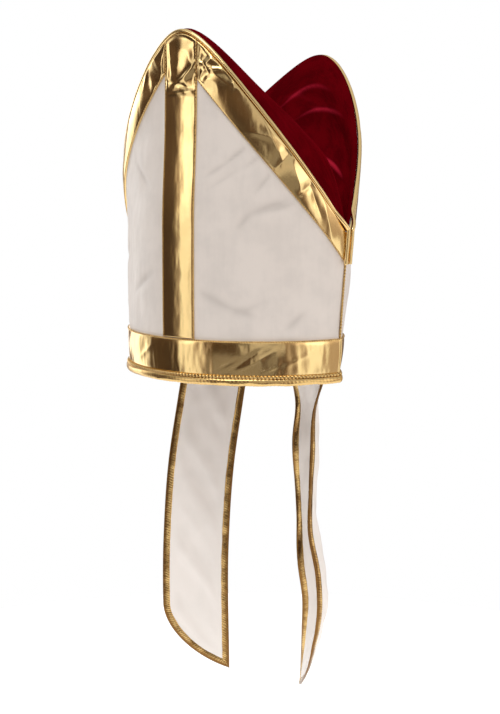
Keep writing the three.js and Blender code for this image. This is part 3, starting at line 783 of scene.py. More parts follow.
class Graph:
    """The nodes of one material or world."""

    def __init__(self, tree):
        self.tree = tree
        tree.nodes.clear()

    def node(self, kind, settings=None, values=None):
        """Adds a node: its settings first, a ramp's stops among them, then its sockets' values or links."""
        node = self.tree.nodes.new(kind)
        for name, setting in (settings or {}).items():
            if name == "stops":
                elements = node.color_ramp.elements
                while len(elements) < len(setting):
                    elements.new(1)
                for element, (position, value) in zip(elements, setting):
                    element.position = position
                    element.color = (*value, 1) if np.ndim(value) else (value, value, value, 1)
            else:
                setattr(node, name, setting)
        for key, value in (values or {}).items():
            self.put(self.socket(node, key), value)
        return node

    def socket(self, node, key):
        """A node's input by its place, its identifier or its name."""
        if isinstance(key, int):
            return node.inputs[key]
        for socket in node.inputs:
            if socket.enabled and key in (socket.identifier, socket.name):
                return socket
        raise KeyError(f"{node.bl_idname} has no input {key}")

    def put(self, socket, value):
        """Links a socket to a value, or sets its number or colour."""
        if isinstance(value, Value):
            value = value.socket
        if isinstance(value, bpy.types.NodeSocket):
            self.tree.links.new(value, socket)
        elif socket.type == "RGBA" and len(value) == 3:
            socket.default_value = (*value, 1)
        else:
            socket.default_value = value

    def math(self, operation, *values):
        """A Math node's result."""
        node = self.node("ShaderNodeMath", {"operation": operation}, dict(enumerate(values)))
        return Value(self, node.outputs[0])

    def scaled(self, vector, factors):
        """A vector times another, part by part."""
        node = self.node("ShaderNodeVectorMath", {"operation": "MULTIPLY"}, {0: vector, 1: factors})
        return node.outputs[0]

    def blend(self, a, b, factor):
        """A colour between two colours."""
        values = {"Factor_Float": factor, "A_Color": a, "B_Color": b}
        return self.node("ShaderNodeMix", {"data_type": "RGBA"}, values).outputs["Result"]

    def noise(self, vector, scale, detail=2.0, roughness=0.5, distortion=0.0):
        """A Noise texture's value, from 0 to 1."""
        values = {
            "Vector": vector,
            "Scale": scale,
            "Detail": detail,
            "Roughness": roughness,
            "Distortion": distortion,
        }
        return Value(self, self.node("ShaderNodeTexNoise", None, values).outputs[0])

    def waves(self, vector, scale, direction, distortion):
        """A Wave texture's bands, from 0 to 1."""
        settings = {"wave_type": "BANDS", "bands_direction": direction}
        values = {
            "Vector": vector,
            "Scale": scale,
            "Distortion": distortion,
            "Detail": 1.0,
            "Detail Scale": 2.0,
        }
        return Value(self, self.node("ShaderNodeTexWave", settings, values).outputs["Fac"])

    def range(self, value, low, high):
        """0 below low, 1 above high and smooth in between."""
        values = {"Value": value, "From Min": low, "From Max": high}
        node = self.node("ShaderNodeMapRange", {"interpolation_type": "SMOOTHSTEP"}, values)
        return Value(self, node.outputs[0])

    def between(self, value, rise, fall):
        """1 from the end of the rise to the start of the fall, and 0 outside both."""
        return self.range(value, *rise) * (1 - self.range(value, *fall))

    def bump(self, height_in_mm):
        """A normal from a height in millimetres."""
        values = {"Height": height_in_mm, "Strength": 1.0, "Distance": MM}
        return self.node("ShaderNodeBump", None, values).outputs["Normal"]

    def pattern_mm(self):
        """A point's place on the cut cloth, in millimetres."""
        place = self.node("ShaderNodeUVMap", {"uv_map": PATTERN}).outputs["UV"]
        return self.scaled(place, (1 / MM, 1 / MM, 1 / MM))

    def shade(self):
        """The number that a piece holds for each of its points: see make_piece."""
        return Value(self, self.node("ShaderNodeAttribute", {"attribute_name": SHADE}).outputs["Fac"])

    def finish(self, values):
        """The Principled shader of the material, from its sockets' values."""
        shader = self.node("ShaderNodeBsdfPrincipled", None, values)
        self.node("ShaderNodeOutputMaterial", None, {"Surface": shader.outputs[0]})


def new_material(name):
    """A material and its graph, or None for the graph if it is there already."""
    material = bpy.data.materials.get(name)
    if material:
        return material, None
    material = bpy.data.materials.new(name)
    material.use_nodes = True
    return material, Graph(material.node_tree)


def satin_material(name, light, shaded, folded):
    """White satin: a fine diagonal weave, soft unevenness, painted shade in its creases and a quiet sheen."""
    material, graph = new_material(name)
    if graph is None:
        return material
    place = graph.pattern_mm()
    clouds = graph.noise(place, 0.035, 3.0, 0.55)
    streaks = graph.noise(graph.scaled(place, (0.16, 0.022, 1.0)), 1.0, 3.0, 0.6)
    crush = graph.noise(graph.scaled(place, (0.32, 0.10, 1.0)), 1.0, 2.0, 0.5, 0.4)
    weave = graph.waves(place, 0.55, "DIAGONAL", 0.4)
    grain = graph.noise(place, 1.6, 2.0, 0.6)
    shade = graph.range(0.75 * clouds + 0.25 * streaks, 0.38, 0.66)
    height = 0.22 * clouds + 0.05 * streaks + 0.035 * crush + 0.006 * weave + 0.012 * grain
    cloth = graph.blend(light, shaded, shade)
    graph.finish(
        {
            # Painted shade: the shade number darkens the satin towards the folded colour in creases and fold
            # valleys.
            "Base Color": graph.blend(cloth, folded, graph.shade()),
            "Roughness": 0.42 + 0.12 * clouds,
            "Specular IOR Level": 0.5,
            "Sheen Weight": 0.12,
            "Sheen Roughness": 0.4,
            "Normal": graph.bump(height),
        }
    )
    return material


def velvet_material(mitre):
    """Crimson velvet: a deep pile, pressed in soft patches, with painted sheen on its fold crests."""
    material, graph = new_material("pile_velvet")
    if graph is None:
        return material
    colours = mitre.colours
    place = graph.pattern_mm()
    pressed = graph.noise(place, 0.045, 3.0, 0.6, 0.6)
    brushed = graph.noise(graph.scaled(place, (0.12, 0.4, 1.0)), 1.0, 3.0, 0.6)
    pile = graph.noise(place, 1.4, 2.0, 0.7)
    shade = graph.range(0.6 * pressed + 0.25 * brushed + 0.15 * pile, 0.40, 0.62)
    height = 0.30 * pressed + 0.05 * brushed + 0.05 * pile
    # Painted sheen: the shade number lightens the velvet towards its painted sheen colour.
    crest = graph.range(graph.shade() + 0.3 * pile, 0.25, 1.25)
    cloth = graph.blend(colours.velvet[:], colours.velvet_shade[:], shade)
    graph.finish(
        {
            "Base Color": graph.blend(cloth, colours.velvet_painted_sheen[:], crest),
            "Roughness": 0.82 + 0.12 * pile,
            "Specular IOR Level": 0.0,
            "Sheen Weight": 0.12,
            "Sheen Roughness": 0.3,
            "Sheen Tint": colours.velvet_sheen[:],
            "Normal": graph.bump(height),
        }
    )
    return material


def lame_material(mitre):
    """Gold cloth: bright foil on a fine ribbed ground."""
    material, graph = new_material("gold_cloth")
    if graph is None:
        return material
    place = graph.pattern_mm()
    tone = graph.noise(place, 0.06, 3.0, 0.6)
    crinkle = graph.noise(place, 0.20, 2.0, 0.5, 0.6)
    threads = graph.waves(graph.scaled(place, (0.35, 1.0, 1.0)), 0.42, "Y", 1.2)
    grain = graph.noise(place, 2.2, 2.0, 0.6)
    height = 0.05 * crinkle + 0.005 * threads + 0.008 * grain
    graph.finish(
        {
            "Base Color": graph.blend(mitre.colours.gold[:], mitre.colours.gold_deep[:], tone),
            "Metallic": 1.0,
            "Roughness": 0.12 + 0.06 * grain,
            "Normal": graph.bump(height),
        }
    )
    return material


def thread_material(mitre):
    """Gold bindings and stitches: the same cloth gathered into ribs, with painted shade between them."""
    material, graph = new_material("gold_thread")
    if graph is None:
        return material
    place = graph.pattern_mm()
    threads = graph.waves(place, 0.75, "DIAGONAL", 0.8)
    patches = graph.noise(place, 0.16, 3.0, 0.6)
    # Painted shade: a low shade number, between ribs and beads and on a lappet binding's outside, darkens the
    # thread, and so do random patches.
    crest = graph.range(0.6 * graph.shade() + 0.9 * patches, 0.3, 1.05)
    height = 0.02 * threads + 0.10 * graph.noise(place, 0.45, 2.0, 0.5)
    graph.finish(
        {
            "Base Color": graph.blend(mitre.colours.thread_patch_and_gap_shade[:], mitre.colours.thread[:], crest),
            "Metallic": 1.0,
            "Roughness": 0.16 + 0.14 * patches,
            "Normal": graph.bump(height),
        }
    )
    return material


def floor_material(mitre):
    """The pale floor: matt paper with a faint grain."""
    material, graph = new_material("pale_floor")
    if graph is None:
        return material
    place = graph.node("ShaderNodeTexCoord").outputs["Object"]
    grain = graph.noise(place, 60.0, 2.0, 0.5)
    graph.finish(
        {
            "Base Color": graph.blend(mitre.colours.floor[:], (0.95, 0.95, 0.95), grain),
            "Roughness": 0.9,
            "Specular IOR Level": 0.1,
            "Emission Color": (1.0, 1.0, 1.0),
            "Emission Strength": 0.55,
        }
    )
    return material


# Pieces


def build_panel(mitre, side):
    """A satin panel: slack and creased on its open cloth, and gathered beside its trim."""
    shape = PanelShape(mitre, side)
    body, trim, colours = mitre.body, mitre.trim, mitre.colours
    u = np.linspace(-1, 1, PANEL_COLUMNS)[:, None]
    b = np.linspace(0, 1, PANEL_ROWS)[None, :]
    z = mix(body.hem, shape.piping_foot(u * shape.notch_arc), b)

    def surface(depth, relief):
        s = shape.seam_share(u, z, -depth)
        return shape.at(s, z, relief - depth)

    s = shape.seam_share(u, z, 0.0)
    to_rim = z - trim.rim_top
    to_centre = np.abs(s) - trim.centre_width / 2
    hand = np.where(s < 0, LEFT, RIGHT)
    to_edge_band = band_inner_height(shape, mitre, hand, np.abs(s)) - z
    nearest = np.minimum(np.minimum(to_rim, to_centre), to_edge_band)
    open_cloth = smoothstep(-1 * MM, 7 * MM, nearest)
    gathers = np.exp(-np.clip(nearest, 0, None) / (5 * MM)) * smoothstep(-1 * MM, 1 * MM, nearest)
    ripple = soft_waves(s, z, 6 * MM, SEEDS["satin_ripple"] + side)
    slack = soft_waves(s, z, 45 * MM, SEEDS["satin_slack"] + side)
    crushed = soft_waves(2.4 * s, z, 17 * MM, SEEDS["satin_crush"] + side) * smoothstep(0, -70 * MM, s)
    creases = crease_field(PANEL_CREASES[side], s, z)
    slack_height, full_depth = 1.1 * MM, 1.4 * MM
    relief = open_cloth * (creases + slack_height * slack + body.crush * crushed)
    # Painted shade: sunk, taken against full_depth, sets how far the satin's colour darkens in each crease.
    sunk = open_cloth * -(creases + 0.35 * body.crush * crushed)
    relief = relief + body.pucker * gathers * ripple
    make_wall(
        f"{SIDES[side]}_satin_panel",
        surface(0.0, relief),
        surface(body.wall, 0.0),
        np.stack([s, z], -1),
        satin_material("padded_satin", colours.satin[:], colours.satin_shade[:], colours.satin_crease_shade[:]),
        [f"{SIDES[side]}_panel"],
        np.clip(sunk / full_depth, 0, 1) ** 1.3,
    )


def band_inner_height(shape, mitre, hand, s):
    """Height of the slanted bands' inner edge, a straight line on the cut cloth."""
    trim = mitre.trim
    slim = (hand == LEFT) & (shape.side == FRONT)
    start = trim.centre_width / 2
    high = shape.edge_height(start, 0.0) - np.where(slim, trim.slim_at_middle, trim.edge_at_middle)
    low = mitre.body.notch_height - np.where(slim, trim.slim_at_seam, trim.edge_at_seam)
    return mix(high, low, (s - start) / (shape.notch_arc - start))


def border_places(length, rounding, step):
    """Places from 0 to 1 along a length, close together within the rounding of both ends."""
    edge = rounding / length
    middle = np.linspace(edge, 1 - edge, max(3, round(length / step)))
    start = edge * np.array([0, 0.08, 0.28, 0.6])
    return np.concatenate([start, middle, 1 - start[::-1]])


def rounded(distance, radius):
    """The height of a rounded edge, from 0 at the edge to 1."""
    t = np.clip(distance / radius, 0, 1)
    return np.sqrt(1 - (1 - t) ** 2)


def gold_relief(mitre, shape, s, z):
    """Wrinkles of the gold cloth: ribs and waves, livelier on the rim, and facets in the peak, calmer in
    its middle. The creases of the table come on top."""
    trim = mitre.trim
    seed = SEEDS["gold"] + shape.side
    peak = smoothstep(0.80, 0.87, z / shape.height)
    on_rim = 1 - smoothstep(trim.rim_top, trim.rim_top + 1 * MM, z)
    fine = trim.ribbing * (1 + 0.8 * on_rim) * soft_waves(s, 0.2 * z, 4.5 * MM, seed)
    quiet = fine + trim.crumple * (1 + 0.7 * on_rim) * soft_waves(s, z, 26 * MM, seed + 4)
    quiet = quiet + 0.25 * MM * on_rim * soft_waves(s, 0.4 * z, 11 * MM, seed + 6)
    flat_top = np.exp(-((s / (14 * MM)) ** 2) - ((z - 0.93 * shape.height) / (15 * MM)) ** 2)
    facets = trim.peak_crumple * (1 - 0.8 * flat_top) * crumples(s, z, 24 * MM, seed + 9)
    return mix(quiet, facets, peak) + crease_field(GOLD_CREASES[shape.side], s, z)


def build_band(mitre, side, node, length, width, puff, place):
    """A gold band on a panel. place(a, b, out) gives its arc length and height."""
    shape = PanelShape(mitre, side)
    trim = mitre.trim
    a = border_places(length, trim.rounding, BAND_STEP)[:, None]
    b = border_places(width, trim.rounding, BAND_STEP)[None, :]
    s, z = np.broadcast_arrays(*place(a, b, trim.thickness))
    inside = np.minimum(np.minimum(a, 1 - a) * length, np.minimum(b, 1 - b) * width)
    across = a if length < width else b
    settle = smoothstep(0, 4 * MM, inside)
    relief = puff * (1 - (2 * across - 1) ** 2) + settle * gold_relief(mitre, shape, s, z)
    out = rounded(inside, trim.rounding) * np.maximum(trim.thickness + relief, trim.least)
    faces = grid_faces(*s.shape)
    points = shape.at(s, z, out).reshape(-1, 3)
    places = np.stack([s, z], -1).reshape(-1, 2)
    make_piece(f"{node}_cloth", points, faces, places, lame_material(mitre), [node])


def stitches_on(mitre, side, name, kind, s, z):
    """A row of stitches along a line on a gold band, sunk in by a part of their radius."""
    shape = PanelShape(mitre, side)
    radius, pitch = STITCHES[kind]["radius"] * MM, STITCHES[kind]["pitch"] * MM
    points = shape.at(s, z, mitre.trim.thickness - 0.3 * radius)
    make_stitches(name, points, shape.outwards(s, z), radius, pitch, thread_material(mitre))


def build_centre_band(mitre, side):
    """An upright gold band with a row of stitches down each edge."""
    shape = PanelShape(mitre, side)
    trim = mitre.trim
    low = trim.rim_top + mitre.body.seam_gap

    def place(a, b, out):
        s = (a - 0.5) * trim.centre_width
        return s, mix(low, shape.piping_foot(s), b)

    node = f"{SIDES[side]}_centre_band"
    build_band(mitre, side, node, trim.centre_width, shape.height - low, trim.centre_puff, place)
    from_edge, from_top = 0.6 * MM, 2 * MM
    for hand in HANDS:
        s = hand * (trim.centre_width / 2 - from_edge)
        z = np.linspace(low, shape.piping_foot(s) - from_top, 300)
        name = f"{node}_{HANDS[hand]}_stitches"
        stitches_on(mitre, side, name, "centre_band", np.full(len(z), s), z)


def build_edge_band(mitre, side, hand):
    """A slanted gold band with a fine sewn line along its inner edge."""
    shape = PanelShape(mitre, side)
    trim = mitre.trim
    start = trim.centre_width / 2 + mitre.body.seam_gap

    def place(a, b, out):
        s = mix(start, shape.notch_arc, a)
        z = mix(band_inner_height(shape, mitre, hand, s), shape.piping_foot(s), b)
        return hand * shape.seam_share(s / shape.notch_arc, z, out), z

    node = f"{SIDES[side]}_{HANDS[hand]}_edge_band"
    length = math.hypot(shape.notch_arc, shape.height - mitre.body.notch_height)
    build_band(mitre, side, node, length, trim.edge_at_middle, trim.puff, place)
    inner_edge = 0.018
    s, z = place(np.linspace(0.01, 0.985, 300), inner_edge, trim.thickness)
    stitches_on(mitre, side, f"{node}_stitches", "edge_band", s, z)


def build_rim_band(mitre, side):
    """A wide gold band round the head, stitched along its top and down its two ends."""
    shape = PanelShape(mitre, side)
    trim = mitre.trim
    low = trim.binding_height - 1 * MM

    def place(a, b, out):
        z = mix(low, trim.rim_top, b)
        return shape.seam_share(2 * a - 1, z, out), z

    node = f"{SIDES[side]}_rim_band"
    length = 2 * float(shape.section(0.0).arc)
    build_band(mitre, side, node, length, trim.rim_top - low, trim.puff, place)
    top_edge = 0.978
    s, z = place(np.linspace(0.004, 0.996, 600), top_edge, trim.thickness)
    stitches_on(mitre, side, f"{node}_top_stitches", "rim_top", s, z)
    from_seam = 3.4 * MM
    for hand in HANDS:
        z = np.linspace(low + 3 * MM, trim.rim_top - 2 * MM, 60)
        s = shape.seam_share(hand, z, trim.thickness) - hand * from_seam
        stitches_on(mitre, side, f"{node}_{HANDS[hand]}_end_stitches", "rim_end", s, z)


def build_rim_binding(mitre, side):
    """The rolled lower edge and the slanted cord of stitches above it."""
    shape = PanelShape(mitre, side)
    trim = mitre.trim
    sides = 20
    length = 2 * float(shape.section(0.0).arc)
    u = np.linspace(-1, 1, round(length / ROLL_STEP))[:, None]
    angle = 2 * math.pi * np.arange(sides)[None, :] / sides
    along = u * length / 2
    crests = ribs(along / trim.rib_pitch + 0.3 * np.sin(angle))
    dents = 0.35 * MM * soft_waves(along, angle * 6 * MM, 11 * MM, SEEDS["rim_roll"] + side)
    half_height = 0.37 * trim.binding_height
    half_thickness = trim.binding_thickness / 2
    swell = 1 + (0.4 * trim.rib_height * (crests - 0.6) + dents) / half_thickness
    out = trim.binding_gap + half_thickness * (1 + swell * np.cos(angle))
    z = half_height * (1 + swell * np.sin(angle))
    rings = shape.at(shape.seam_share(u, z, out), z, out)
    node = f"{SIDES[side]}_rim_binding"
    gold = thread_material(mitre)
    along = along[:, 0] + length / 2
    # The last number paints shade between the roll's ribs.
    make_tube(f"{node}_roll", rings, along, gold, [node], 0.75 + 0.25 * crests)
    rope_radius, rope_out, rope_drop, rope_reach = 1.6 * MM, 1.8 * MM, 1.1 * MM, 0.997
    out = trim.binding_gap + rope_out
    z = np.full(500, trim.binding_height - rope_drop)
    s = shape.seam_share(np.linspace(-rope_reach, rope_reach, len(z)), z, out)
    points, normals = shape.at(s, z, out), shape.outwards(s, z)
    make_stitches(f"{node}_stitches", points, normals, rope_radius, trim.rib_pitch, gold)


def build_piping(mitre, side):
    """The rolled edge of a horn, which runs down beside both notches."""
    shape = PanelShape(mitre, side)
    trim = mitre.trim
    sides = 12
    clear = trim.piping + mitre.body.seam_gap / 2
    foot = mitre.body.notch_height - trim.edge_at_seam
    out_at_foot = trim.thickness + mitre.body.seam_gap + trim.piping
    out_on_edge = -0.4 * MM
    foot_z = np.linspace(foot, mitre.body.notch_height - shape.piping_inset, 12)
    foot_s = shape.section(foot_z).arc - clear
    edge_s = np.linspace(shape.notch_arc - clear, 0, 160)
    turned = smoothstep(shape.notch_arc - 9 * trim.piping, shape.notch_arc - 2.5 * trim.piping, edge_s)
    s = np.concatenate([foot_s, edge_s])
    z = np.concatenate([foot_z, shape.edge_height(edge_s, trim.piping)])
    out = np.concatenate([np.full(len(foot_z), out_at_foot), mix(out_on_edge, out_at_foot, turned)])
    s = np.concatenate([s, -s[-2::-1]])
    z = np.concatenate([z, z[-2::-1]])
    out = np.concatenate([out, out[-2::-1]])
    points, normals, along = evenly(shape.at(s, z, out), shape.outwards(s, z), PIPING_STEP)
    angle = 2 * math.pi * np.arange(sides)[None, :] / sides
    uneven = 0.09 * soft_waves(along[:, None], angle * 3 * MM, 9 * MM, SEEDS["piping"] + side)
    rings = cord_rings(points, normals, trim.piping * (1 + uneven), sides)
    node = f"{SIDES[side]}_edge_piping"
    make_tube(f"{node}_roll", rings, along, lame_material(mitre), [node])


def build_seam_cord(mitre, hand):
    """The thin gold cord down a side seam."""
    trim = mitre.trim
    gap = mitre.body.seam_gap
    twist_pitch = 2.8 * MM
    z = np.linspace(trim.rim_top + gap, mitre.body.notch_height - trim.edge_at_seam - gap, 60)
    section = PanelShape(mitre, FRONT).section(z)
    x = hand * (section.half_width + 0.3 * trim.seam_cord)
    points = np.stack([x, section.seam_y, z], -1)
    normals = np.tile([float(hand), 0.0, 0.0], (len(z), 1))
    node = f"{HANDS[hand]}_seam_cord"
    gold = thread_material(mitre)
    piece = make_stitches(f"{node}_twist", points, normals, trim.seam_cord, twist_pitch, gold)
    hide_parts(node)


def crown_folds(out, across, narrow=1.0):
    """The velvet's folds, from 0 to about 1 at their crests. A narrow of less than 1 keeps to the crests."""
    total = np.zeros(np.broadcast(out, across).shape)
    for fold in CROWN_FOLDS:
        t, away = fold.near(out, across)
        away = away / narrow
        crest = 0.7 * np.exp(-(away**2)) + 0.3 * np.exp(-3 * away)
        total += fold.height * np.sin(math.pi * t) * crest
    return total


def crown_surface(mitre, out, across):
    """The velvet's middle surface, from the front horn's edge to the back one's."""
    velvet = mitre.velvet
    inwards = -(mitre.body.wall + mitre.body.seam_gap + velvet.wall / 2)

    def edge(side):
        shape = PanelShape(mitre, side)
        s = out * shape.notch_arc
        return shape.at(s, shape.edge_height(s, mitre.trim.piping), inwards)

    near, far = edge(FRONT), edge(BACK)
    outwards = np.minimum(np.abs(out), 1)

    def spread(name):
        return column(CROWN_SPREAD, "out", name, outwards)

    valley = mix(near, far, velvet.valley_along)
    floor = mitre.body.notch_height - velvet.valley_drop + velvet.valley_rise * (1 - outwards**2.2)
    valley[..., 2] = np.minimum(floor, valley[..., 2])
    span = unit(far - near)

    def up_from(line):
        up = span * -line[..., 2:]
        up[..., 2] = np.sum(line * span, axis=-1)
        return unit(up)

    t = np.clip(2 * across, 0, 1)
    line = valley - near
    bulge = velvet.bulge * spread("bulge") * (1 - velvet.bulge_fade * t)
    rise = bulge * np.sin(math.pi * t ** spread("place"))
    near_half = near + line * t[..., None] + up_from(line) * rise[..., None]
    t = np.clip(2 * across - 1, 0, 1)
    line = far - valley
    lip_along = np.clip((t - velvet.lip_start) / (1 - velvet.lip_start), 0, 1)
    lip = velvet.lip * spread("lip") * np.sin(math.pi * lip_along)
    folds = velvet.fold_height * crown_folds(out, across)
    hang = folds - velvet.hollow * spread("hollow") * np.sin(math.pi * t)
    far_half = valley + line * t[..., None] + up_from(line) * (lip + hang)[..., None]
    return np.where((across < 0.5)[..., None], near_half, far_half)


def build_crown(mitre):
    """The velvet crown, with soft dents over its bulge and folds, tucked under the piping."""
    velvet = mitre.velvet
    columns = velvet.reach * np.linspace(-1, 1, CROWN_COLUMNS)
    rows = np.linspace(0, 1, CROWN_ROWS)
    out, across = np.broadcast_arrays(columns[:, None], rows[None, :])
    cut_x, cut_y = out * 150 * MM, across * 230 * MM
    middle = crown_surface(mitre, out, across)
    dents = 1.1 * MM * soft_waves(cut_x, cut_y, 34 * MM, SEEDS["velvet_dents"])
    for from_edge, fade in ((across, 0.08), (1 - across, 0.08), (1 - np.abs(out), 0.12)):
        dents = dents * smoothstep(0, fade, from_edge)
    middle = middle + grid_normals(middle) * dents[..., None]
    wider_at_notch = 1 + 1.6 * smoothstep(0.8, 0.97, np.abs(out))
    upwards = np.array([0, 0, 0.7])
    for side, from_edge in ((FRONT, across), (BACK, 1 - across)):
        shape = PanelShape(mitre, side)
        s = out * shape.notch_arc
        tuck = velvet.tuck * wider_at_notch * (1 - smoothstep(0, 0.03, from_edge))
        lifted = shape.outwards(s, shape.edge_height(s, mitre.trim.piping)) + upwards
        middle = middle + lifted * tuck[..., None]
    normals = grid_normals(middle)
    half = velvet.wall / 2
    # Painted sheen: these crest numbers lighten the velvet's colour along its folds, over the near half and
    # in soft patches there.
    near = 1 - smoothstep(0.3, 0.5, across)
    lit = 0.12 * near * soft_waves(cut_x, cut_y, 30 * MM, SEEDS["velvet_light"])
    crests = crown_folds(out, across, narrow=0.32) + 0.1 * near + lit
    make_wall(
        "velvet_crown",
        middle + normals * half,
        middle - normals * half,
        np.stack([cut_x, cut_y], -1),
        velvet_material(mitre),
        ["front_crown", "back_crown"],
        crests,
    )


def lappet_outline(shape, step):
    """Points along a lappet's cut edge: down its inner side, round its end and up its outer side."""
    size = shape.size
    inner = -shape.hand * size.width / 2
    down = np.arange(0, size.length, step)
    angle = np.linspace(0, math.pi / 2, round(math.hypot(size.width, size.rounding) * 1.3 / step))
    end_w = inner * (1 - 2 * np.sin(angle))
    end_d = size.length - size.slant * np.sin(angle) - size.rounding * (1 - np.cos(angle))
    up = np.arange(end_d[-1], 0, -step)[1:]
    w = np.concatenate([np.full(len(down), inner), end_w, np.full(len(up), -inner)])
    d = np.concatenate([down, end_d, up])
    return w, d, len(down)


def inset_line(shape, w, d, corner, inset):
    """The cut edge moved in by an inset, with its sharp corner mitred."""
    along = unit(np.stack([np.gradient(w), np.gradient(d)], -1))
    steps = np.stack([np.diff(w), np.diff(d)], -1)
    along[corner - 1] = unit(steps[corner - 2])
    along[corner] = unit(steps[corner])
    along[0] = unit(steps[0])
    inwards = shape.hand * np.stack([along[:, 1], -along[:, 0]], -1)
    up_side = np.array([0.0, -1.0])
    opening = math.acos(float(np.clip(np.dot(unit(steps[corner]), up_side), -1, 1)))
    from_corner = np.hypot(w - w[corner], d - d[corner])
    reach = np.minimum(inset, from_corner * math.tan(opening / 2))
    return w + inwards[:, 0] * reach, d + inwards[:, 1] * reach


def build_lappet(mitre, hand):
    """A lappet's satin, which runs into its binding."""
    shape = LappetShape(mitre, hand)
    size = shape.size
    tuck = 1.2 * MM
    half = size.width / 2 - tuck
    w = np.linspace(-half, half, LAPPET_COLUMNS)[:, None]
    b = np.linspace(0, 1, LAPPET_ROWS)[None, :]
    d = mix(0, shape.end_depth(w, tuck), b)
    w = np.broadcast_to(w, d.shape)
    bound = np.minimum(half - np.abs(w), shape.end_depth(w, tuck) - d)
    folds = shape.folds(w, d) * smoothstep(size.binding_width, size.binding_width + 9 * MM, bound)
    folds = folds * smoothstep(0, 20 * MM, d - shape.sewn)
    middle = shape.at(w, d)
    facing = shape.facing(w, d)
    colours = mitre.colours
    return make_wall(
        f"{HANDS[hand]}_lappet_satin",
        middle + facing * (folds + size.wall / 2)[..., None],
        middle + facing * (folds - size.wall / 2)[..., None],
        np.stack([w, d], -1),
        # satin_shade is the painted shade here, darkening the lappet in its fold valleys by the last number.
        satin_material("lappet_satin", colours.lappet[:], colours.lappet_shade[:], colours.satin_shade[:]),
        [f"{HANDS[hand]}_lappet"],
        np.clip(-folds / (1.8 * size.fold), 0, 1),
    )


def build_lappet_binding(mitre, hand):
    """A lappet's gold edge, gathered into slanted ribs by its stitching, with painted shade on its outside.
    """
    shape = LappetShape(mitre, hand)
    size = shape.size
    w, d, corner = lappet_outline(shape, BINDING_STEP)
    along = np.concatenate([[0], np.cumsum(np.hypot(np.diff(w), np.diff(d)))])
    sides = 16
    half_width, half = size.binding_width / 2, size.binding_thickness / 2
    still = np.zeros(len(along))
    wander = 0.7 * soft_waves(along, still, 14 * MM, SEEDS["binding_wander"] + hand)
    depth = 0.55 + 0.45 * soft_waves(along, still, 11 * MM, SEEDS["binding_depth"] + hand)
    depth = np.clip(depth, 0.1, 1)
    rings, shades = [], []
    for theta in 2 * math.pi * np.arange(sides) / sides:
        across = np.sign(np.cos(theta)) * abs(np.cos(theta)) ** 0.8
        inset = half_width * (1 - across)
        crests = ribs(along / size.rib_pitch + wander - 0.7 * across) * depth
        dents = soft_waves(along, still + 5 * MM * theta, 8 * MM, SEEDS["binding_dents"] + hand)
        height = half * 0.8 + mitre.trim.rib_height * (crests - 0.4) + 0.3 * MM * dents
        lift = np.sin(theta) * height
        x, y = inset_line(shape, w, d, corner, inset)
        rings.append(shape.at(x, y) + shape.facing(x, y) * lift[:, None])
        # Painted shade: the binding's outer edge and the gaps between its ribs are darkened.
        inside = smoothstep(0.9, -0.4, across)
        shades.append((1.6 * crests + 0.4) * inside - 0.4)
    node = f"{HANDS[hand]}_lappet_binding"
    rings, shade = np.stack(rings, axis=1), np.stack(shades, axis=1)
    return make_tube(f"{node}_ribs", rings, along, thread_material(mitre), [node], shade)


def flat_area(shape):
    """Area of a lappet's cut cloth."""
    w, d, _ = lappet_outline(shape, 2 * MM)
    return abs(np.sum(w * np.roll(d, -1) - np.roll(w, -1) * d)) / 2


# Stage


def direction(azimuth, elevation):
    """A unit vector. Azimuth 0 is straight in front of the mitre and 90 degrees to its right."""
    a, e = math.radians(azimuth), math.radians(elevation)
    return Vector((math.sin(a) * math.cos(e), -math.cos(a) * math.cos(e), math.sin(e)))


def add_softbox(name, azimuth, elevation, distance, width, height, radiance):
    """A soft rectangular light that faces the mitre."""
    data = bpy.data.lights.new(name, "AREA")
    data.shape = "RECTANGLE"
    data.size = width
    data.size_y = height
    data.energy = radiance * math.pi * width * height
    light = bpy.data.objects.new(name, data)
    towards = direction(azimuth, elevation)
    light.location = towards * distance
    light.rotation_euler = towards.to_track_quat("Z", "Y").to_euler()
    light.visible_camera = False
    bpy.context.scene.collection.objects.link(light)


# Light from the studio's walls, as (azimuth in degrees, light). Azimuth 0 is straight in front of the
# mitre and 90 is to its right.
STUDIO_WALLS = [
    (-180, 0.9),
    (-168, 0.25),
    (-152, 0.12),
    (-142, 0.5),
    (-132, 1.5),
    (-125, 0.3),
    (-114, 0.2),
    (-107, 1.9),
    (-88, 1.9),
    (-81, 0.9),
    (-74, 0.09),
    (-42, 0.05),
    (-37, 0.3),
    (-33, 1.25),
    (-24, 1.2),
    (-16, 0.7),
    (-10, 0.14),
    (-4, 0.06),
    (4, 0.07),
    (10, 0.08),
    (48, 0.06),
    (60, 0.2),
    (69, 0.7),
    (78, 1.3),
    (91, 1.2),
    (98, 0.5),
    (118, 0.6),
    (128, 1.3),
    (146, 1.3),
    (156, 0.2),
    (168, 0.2),
    (180, 0.9),
]
DIM_TINT = (1.0, 0.62, 0.42)
BRIGHT_TINT = (1.0, 1.0, 0.99)

# More light than the walls give: a screen in front of the dim walls, a glow under it, a strip at eye
# level and the ceiling. Sides are azimuths in degrees, heights are sines of the elevation, and each pair
# is where the light fades in or out.
WALL_TOP = (0.3, 0.75)
SCREEN = {"sides": ((19, 24), (50, 60)), "foot": (-0.135, -0.09), "light": 0.55}
GLOW = {"sides": ((-16, 0), (40, 55)), "top": (-0.16, -0.125), "light": 0.22}
EYE_LEVEL = {"heights": ((-0.03, 0.08), (0.16, 0.26)), "light": 0.7}
CEILING = {"foot": (0.3, 0.85), "light": 0.72}


